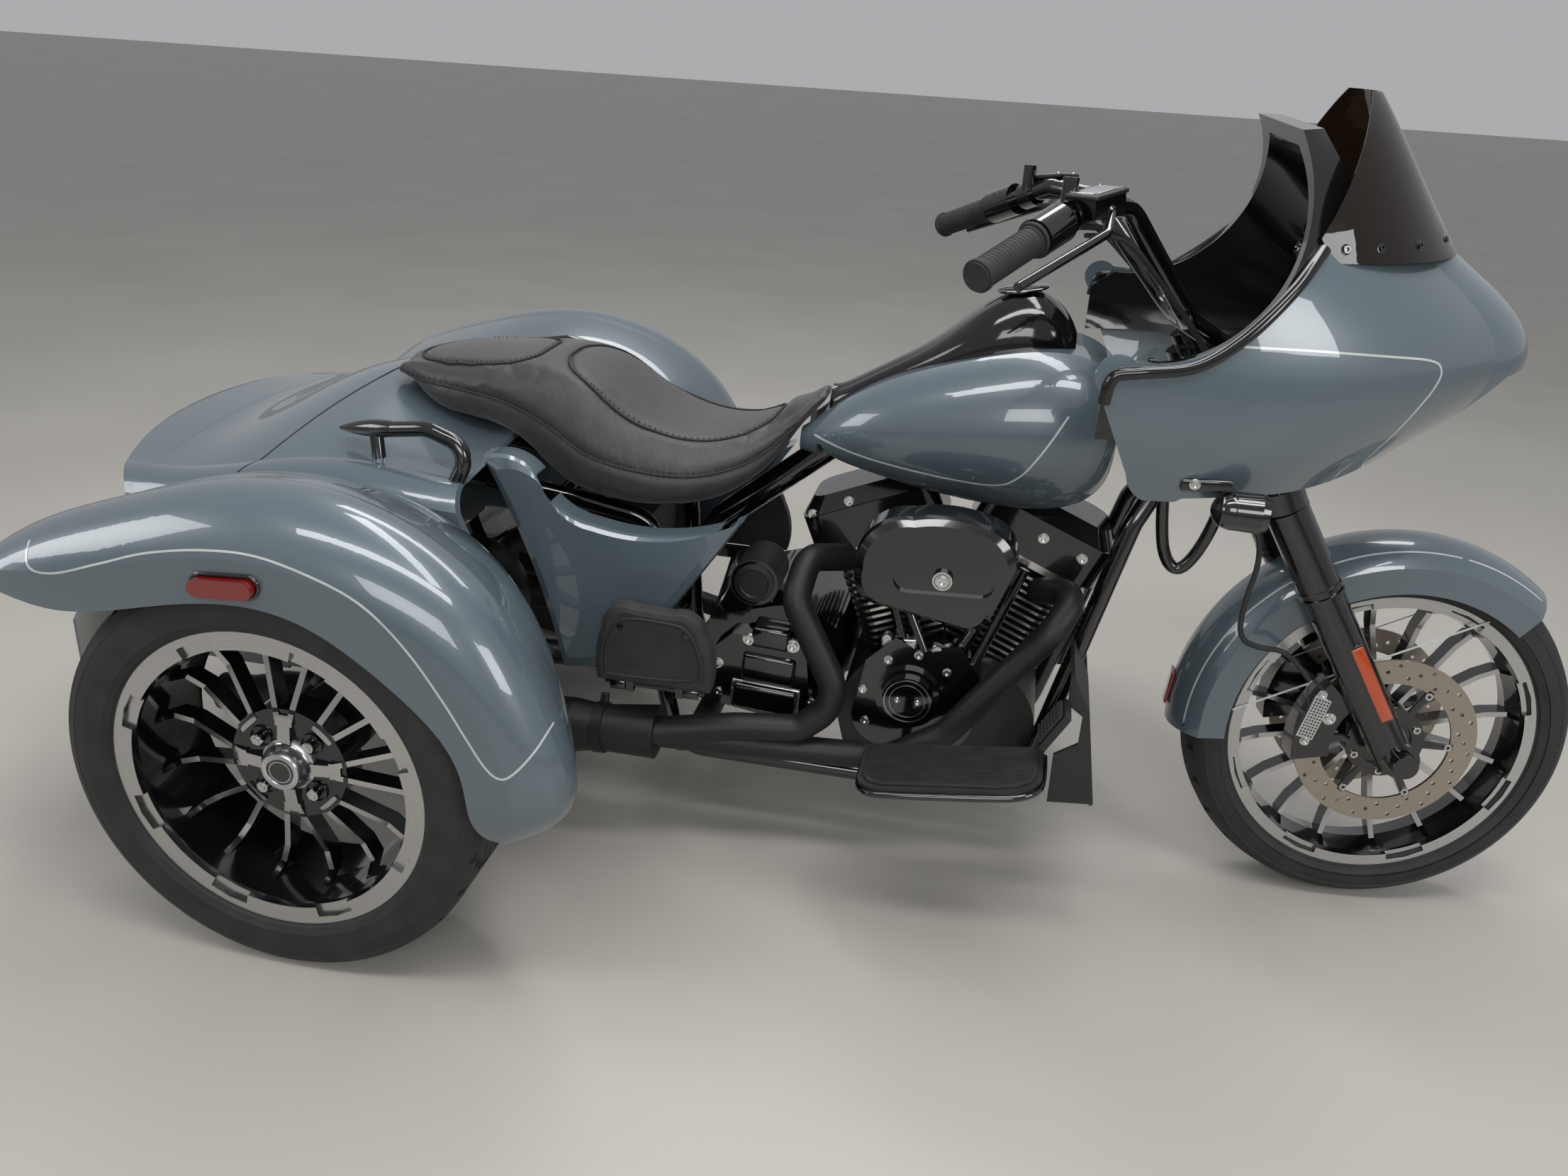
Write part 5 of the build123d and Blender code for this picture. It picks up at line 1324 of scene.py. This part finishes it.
# Ribs of the mat: how many, the first one's y and the spacing
MAT_RIBS, RIB_FIRST, RIB_STEP = 20, 276, 6
BOARD_LIP = ((-144, 272), (-145, 354), (-141, 382), (-128, 399), (-106, 404), (76, 404), (112, 398), (136, 382),
             (146, 354), (146, 272))


def board_details():
    """Ribbed mats and gloss lips on the rider's boards."""
    for word, side in SIDES:
        x, z = BOARD_MIDDLE
        board = Matrix.Translation(mid(x, 0, z)) @ turned(BOARD_TILT, "Y")
        mat = plate([(px * MM, side * py * MM) for px, py in MAT], 0.0055, 0.0012)
        mat.data.transform(Matrix.Translation((0, 0, 0.0158)))
        ribs = []
        for row in range(MAT_RIBS):
            y = RIB_FIRST + row * RIB_STEP
            cut = max(0.0, (y - 352) / 43)
            front, back = 132 - 52 * cut * cut, -132 + 26 * cut * cut
            ribs.append(block(((front - back) * MM, 0.0030, 0.0030),
                              ((front + back) / 2 * MM, side * y * MM, 0.0222), 0.0008, segments=2))
        mat = joined([mat] + ribs)
        finish_piece(settle(mat, board), "board_mat_" + word, "chassis", "rubber")
        lip = hose([Vector((px * MM, side * py * MM, 0.004)) for px, py in BOARD_LIP], 0.0065)
        finish_piece(settle(lip, board), "board_lip_" + word, "chassis", "gloss_black")


def pedal_rubbers():
    """A ribbed pad on the brake pedal and ringed rubbers on the shift pegs."""
    pedal = Matrix.Translation(mid(284, -300, 392)) @ turned(-62, "Y")
    pad = [block((0.062, 0.054, 0.006), (0, 0, 0.0085), 0.003)]
    pad += [block((0.0045, 0.046, 0.003), ((step - 3) * 0.0082, 0, 0.0125), 0.001) for step in range(7)]
    finish_piece(settle(joined(pad), pedal), "brake_pedal_pad", "chassis", "rubber")
    for word, x, z in (("front", 310, 362), ("rear", 20, 356)):
        grooves = [settle(band(0.0105, 0.0132, 0.0052, 0.001, sides=28),
                          towards(mid(x, 0, z) + Vector((0, (0.246 + 0.0085 * step), 0)), (0, 1, 0)))
                   for step in range(7)]
        finish_piece(joined(grooves), "shift_peg_rubber_" + word, "chassis", "rubber")


# Folding board: a point of its hinge's pin, and its recess as (x, z) from there
HINGE = (-364, 318, 366)
RECESS = ((-78, 24), (78, 24), (82, 62), (70, 100), (54, 124), (28, 129), (-32, 130), (-58, 124), (-72, 98),
          (-82, 60))


def passenger_board_details():
    """Recess rims, screws and knuckles of the folding boards."""
    for word, side in SIDES:
        body = "passenger_board_" + word
        hx, hy, hz = HINGE
        face = mid(hx, side * (hy + 23.6), hz)
        rim = loop_of([face + Vector((x * MM, 0, z * MM)) for x, z in RECESS], 0.0024)
        finish_piece(rim, "board_rim_" + word, body, "matte_black_plastic")
        heads = copies_at(screw(0.0046, 0.0030, washer=0.0062), [
            towards(face + Vector((x * MM, side * 0.0005, 0.112)), (0, side, 0)) for x in (-53, 55)])
        finish_piece(heads, "board_screws_" + word, body, "steel", FINISH["gloss_black"])
        knuckles = [settle(cylinder(0.0125, 0.026, 28, 0.002, start=-0.013),
                           towards(mid(hx + x, side * (hy + 2), hz), (1, 0, 0))) for x in (-62, 62)]
        finish_piece(joined(knuckles), "board_knuckles_" + word, body, "gloss_black")


# Marker lamp's middle on the fender, as (x, z), its rim's length and width, and its lean in degrees
MARKER_AT, MARKER_SIZE, MARKER_LEAN = (-847, 649), (101, 33), 4


def marker_rim(word, side):
    """A black rim round the marker lamp, laid on the fender."""
    middle_x, middle_z = MARKER_AT
    turn = radians(side * MARKER_LEAN)
    route = [mid(middle_x + x * cos(turn) - z * sin(turn), side * 740,
                 middle_z - x * sin(turn) + z * cos(turn)) for x, z in rounded_slot(*MARKER_SIZE)]
    points = [place + normal * 0.001
              for place, normal in laid_on(surface_of("fender_" + word), route, (0, -side, 0))]
    finish_piece(hose(points + points[:1], 0.0032), "marker_rim_" + word, "chassis", "gloss_black")


def signal_details(word, side):
    """The turn signal's bracket, its bolt and the round of its lens."""
    bracket = block((0.070, 0.010, 0.018), mid(428, side * 368, 832), 0.004, (0, radians(-4), 0))
    finish_piece(bracket, "signal_bracket_" + word, "chassis", "gloss_black")
    bolt = settle(screw(0.0058, 0.0045, washer=0.0078), towards(mid(412, side * 373, 833), (0, side, 0)))
    finish_piece(bolt, "signal_bolt_" + word, "chassis", "steel", ZINC)
    lens_disc = spun([(0, 0), (0.0235, 0), (0.0235, 0.004), (0.019, 0.0085), (0.010, 0.0105), (0, 0.011)], 48)
    settle(lens_disc, towards(mid(456, side * 368, 800), (-1, 0, 0)))
    finish_piece(lens_disc, "signal_lens_" + word, "chassis", "dark_lens")


def lamp_trim():
    """Trim of the marker lamps and of the turn signals."""
    for word, side in SIDES:
        marker_rim(word, side)
        signal_details(word, side)


# Tube under the fairing: (x, z) at y -40
HANGER = ((414, 716), (420, 660), (433, 600), (458, 572), (482, 600), (503, 660), (512, 716))


def hanger_tube():
    """The bent tube that holds the fairing's underside."""
    tube = hose([mid(x, -40, z) for x, z in HANGER], 0.0105, sides=5)
    finish_piece(tube, "fairing_hanger", "chassis", "gloss_black")


def fender_reflector():
    """A red reflector at the back of the front fender."""
    surface = surface_of("front_fender")
    landed = laid_on(surface, [mid(300, -18, z) for z in (352, 380)], (1, 0, 0))
    if len(landed) == 2:
        up = (landed[1][0] - landed[0][0]).normalized()
        out = landed[0][1]
        across = up.cross(out).normalized()
        frame_at = Matrix((
            (across.x, up.x, out.x, landed[0][0].x), (across.y, up.y, out.y, landed[0][0].y),
            (across.z, up.z, out.z, landed[0][0].z), (0, 0, 0, 1)))
        reflector = block((0.036, 0.060, 0.006), (0, 0, 0.0022), 0.0022)
        finish_piece(settle(reflector, frame_at), "fender_reflector", "steering", "red_lens")


# The strips' way along the console, as (x, z)
CONSOLE_EDGE = ((-140, 806), (-60, 843), (25, 882), (95, 902), (155, 908), (210, 905))


def console_trim():
    """The filler's door and the rubber strips along the console's edges."""
    console = surface_of("tank_console")
    hit, normal, _, _ = console.ray_cast(mid(146, 0, 1200), Vector((0, 0, -1)))
    if hit is not None:
        lid = spun([(0, 0), (0.041, 0), (0.041, 0.0028), (0.039, 0.0042), (0.030, 0.0052), (0, 0.0056)], 64)
        finish_piece(settle(lid, towards(hit, normal)), "fuel_filler_door", "chassis", "gloss_black")
    for word, side in SIDES:
        route = smooth_route([mid(x, side * 300, z) for x, z in CONSOLE_EDGE], 8)
        landed = laid_on(console, route, (0, -side, 0))
        if len(landed) > 8:
            strip = hose([place for place, normal in landed], 0.0042)
            finish_piece(strip, "console_edge_" + word, "chassis", "rubber")


# Fall of the mufflers towards the back, in degrees
MUFFLER_DROP = 3.6


def exhaust_trim():
    """Band clamps where the pipes meet the mufflers."""
    for word, side in SIDES:
        drop = Vector((-1, 0, -tan(radians(MUFFLER_DROP)))).normalized()
        start = mid(-470, side * 285, 252)
        strap = band(0.0402, 0.0440, 0.02, 0.0004, sides=56)
        lug = block((0.012, 0.024, 0.014), (0, 0.048, 0.010), 0.003)
        bolt = settle(screw(0.0042, 0.004), towards((0.007, 0.052, 0.010), (1, 0, 0)))
        clamp = settle(joined([strap, lug, bolt]), towards(start - drop * 0.012, drop, radians(30)))
        finish_piece(clamp, "muffler_clamp_" + word, "chassis", "satin_black", EXHAUST)


# Rear skin of the trunk's lid, from its sound part back to the tail's face
SKIN_FRONT = -1.1200
SKIN_HALF = 0.371
SKIN_THICK = 0.003
SKIN_COLUMNS = 90
SKIN_ROWS = 14


def trunk_lid_skin():
    """The back of the lid's top, between the CAD's sound part and its tail face."""
    lid = surface_of("trunk_lid")
    bpy.ops.object.select_all(action="DESELECT")
    bpy.ops.mesh.primitive_grid_add(x_subdivisions=SKIN_ROWS, y_subdivisions=SKIN_COLUMNS, size=2)
    skin = bpy.context.object
    edges = {}
    for point in skin.data.vertices:
        share, y = (1 - point.co.x) / 2, point.co.y * SKIN_HALF
        key = round(point.co.y, 5)
        if key not in edges:
            front = lid.ray_cast(Vector((SKIN_FRONT, y, 1.0)), Vector((0, 0, -1)))[0]
            tail = lid.ray_cast(Vector((-1.4, y, front.z - 0.010)), Vector((1, 0, 0)))[0]
            back = lid.ray_cast(Vector((tail.x + 0.002, y, 1.0)), Vector((0, 0, -1)))[0]
            edges[key] = (front.z, tail.x, back.z if back is not None else front.z)
        front_z, tail_x, back_z = edges[key]
        point.co = (SKIN_FRONT + share * (tail_x - SKIN_FRONT), y,
                    front_z + share * (back_z - front_z) + 0.0002)
    applied(skin, "SOLIDIFY", thickness=SKIN_THICK, offset=-1)
    finish_piece(skin, "trunk_lid_skin", BODY_OF["trunk_lid"], SLOT_OF["trunk_lid"],
                 FINISH[SLOT_OF["trunk_lid"]])


photo_camera()
studio()
studio_air()
finish_cad_nodes()
tyres()
trunk_lid_skin()
painted_lines()
front_fender_lines()
seat()
brake_discs()
engine_screws()
air_cleaner_details()
timing_cover_rings()
pushrod_clamps()
gearbox_details()
front_end_details()
fairing_rims()
speakers()
dash()
screen_screws()
bar_controls()
wheel_caps()
board_details()
pedal_rubbers()
passenger_board_details()
lamp_trim()
hanger_tube()
fender_reflector()
console_trim()
exhaust_trim()
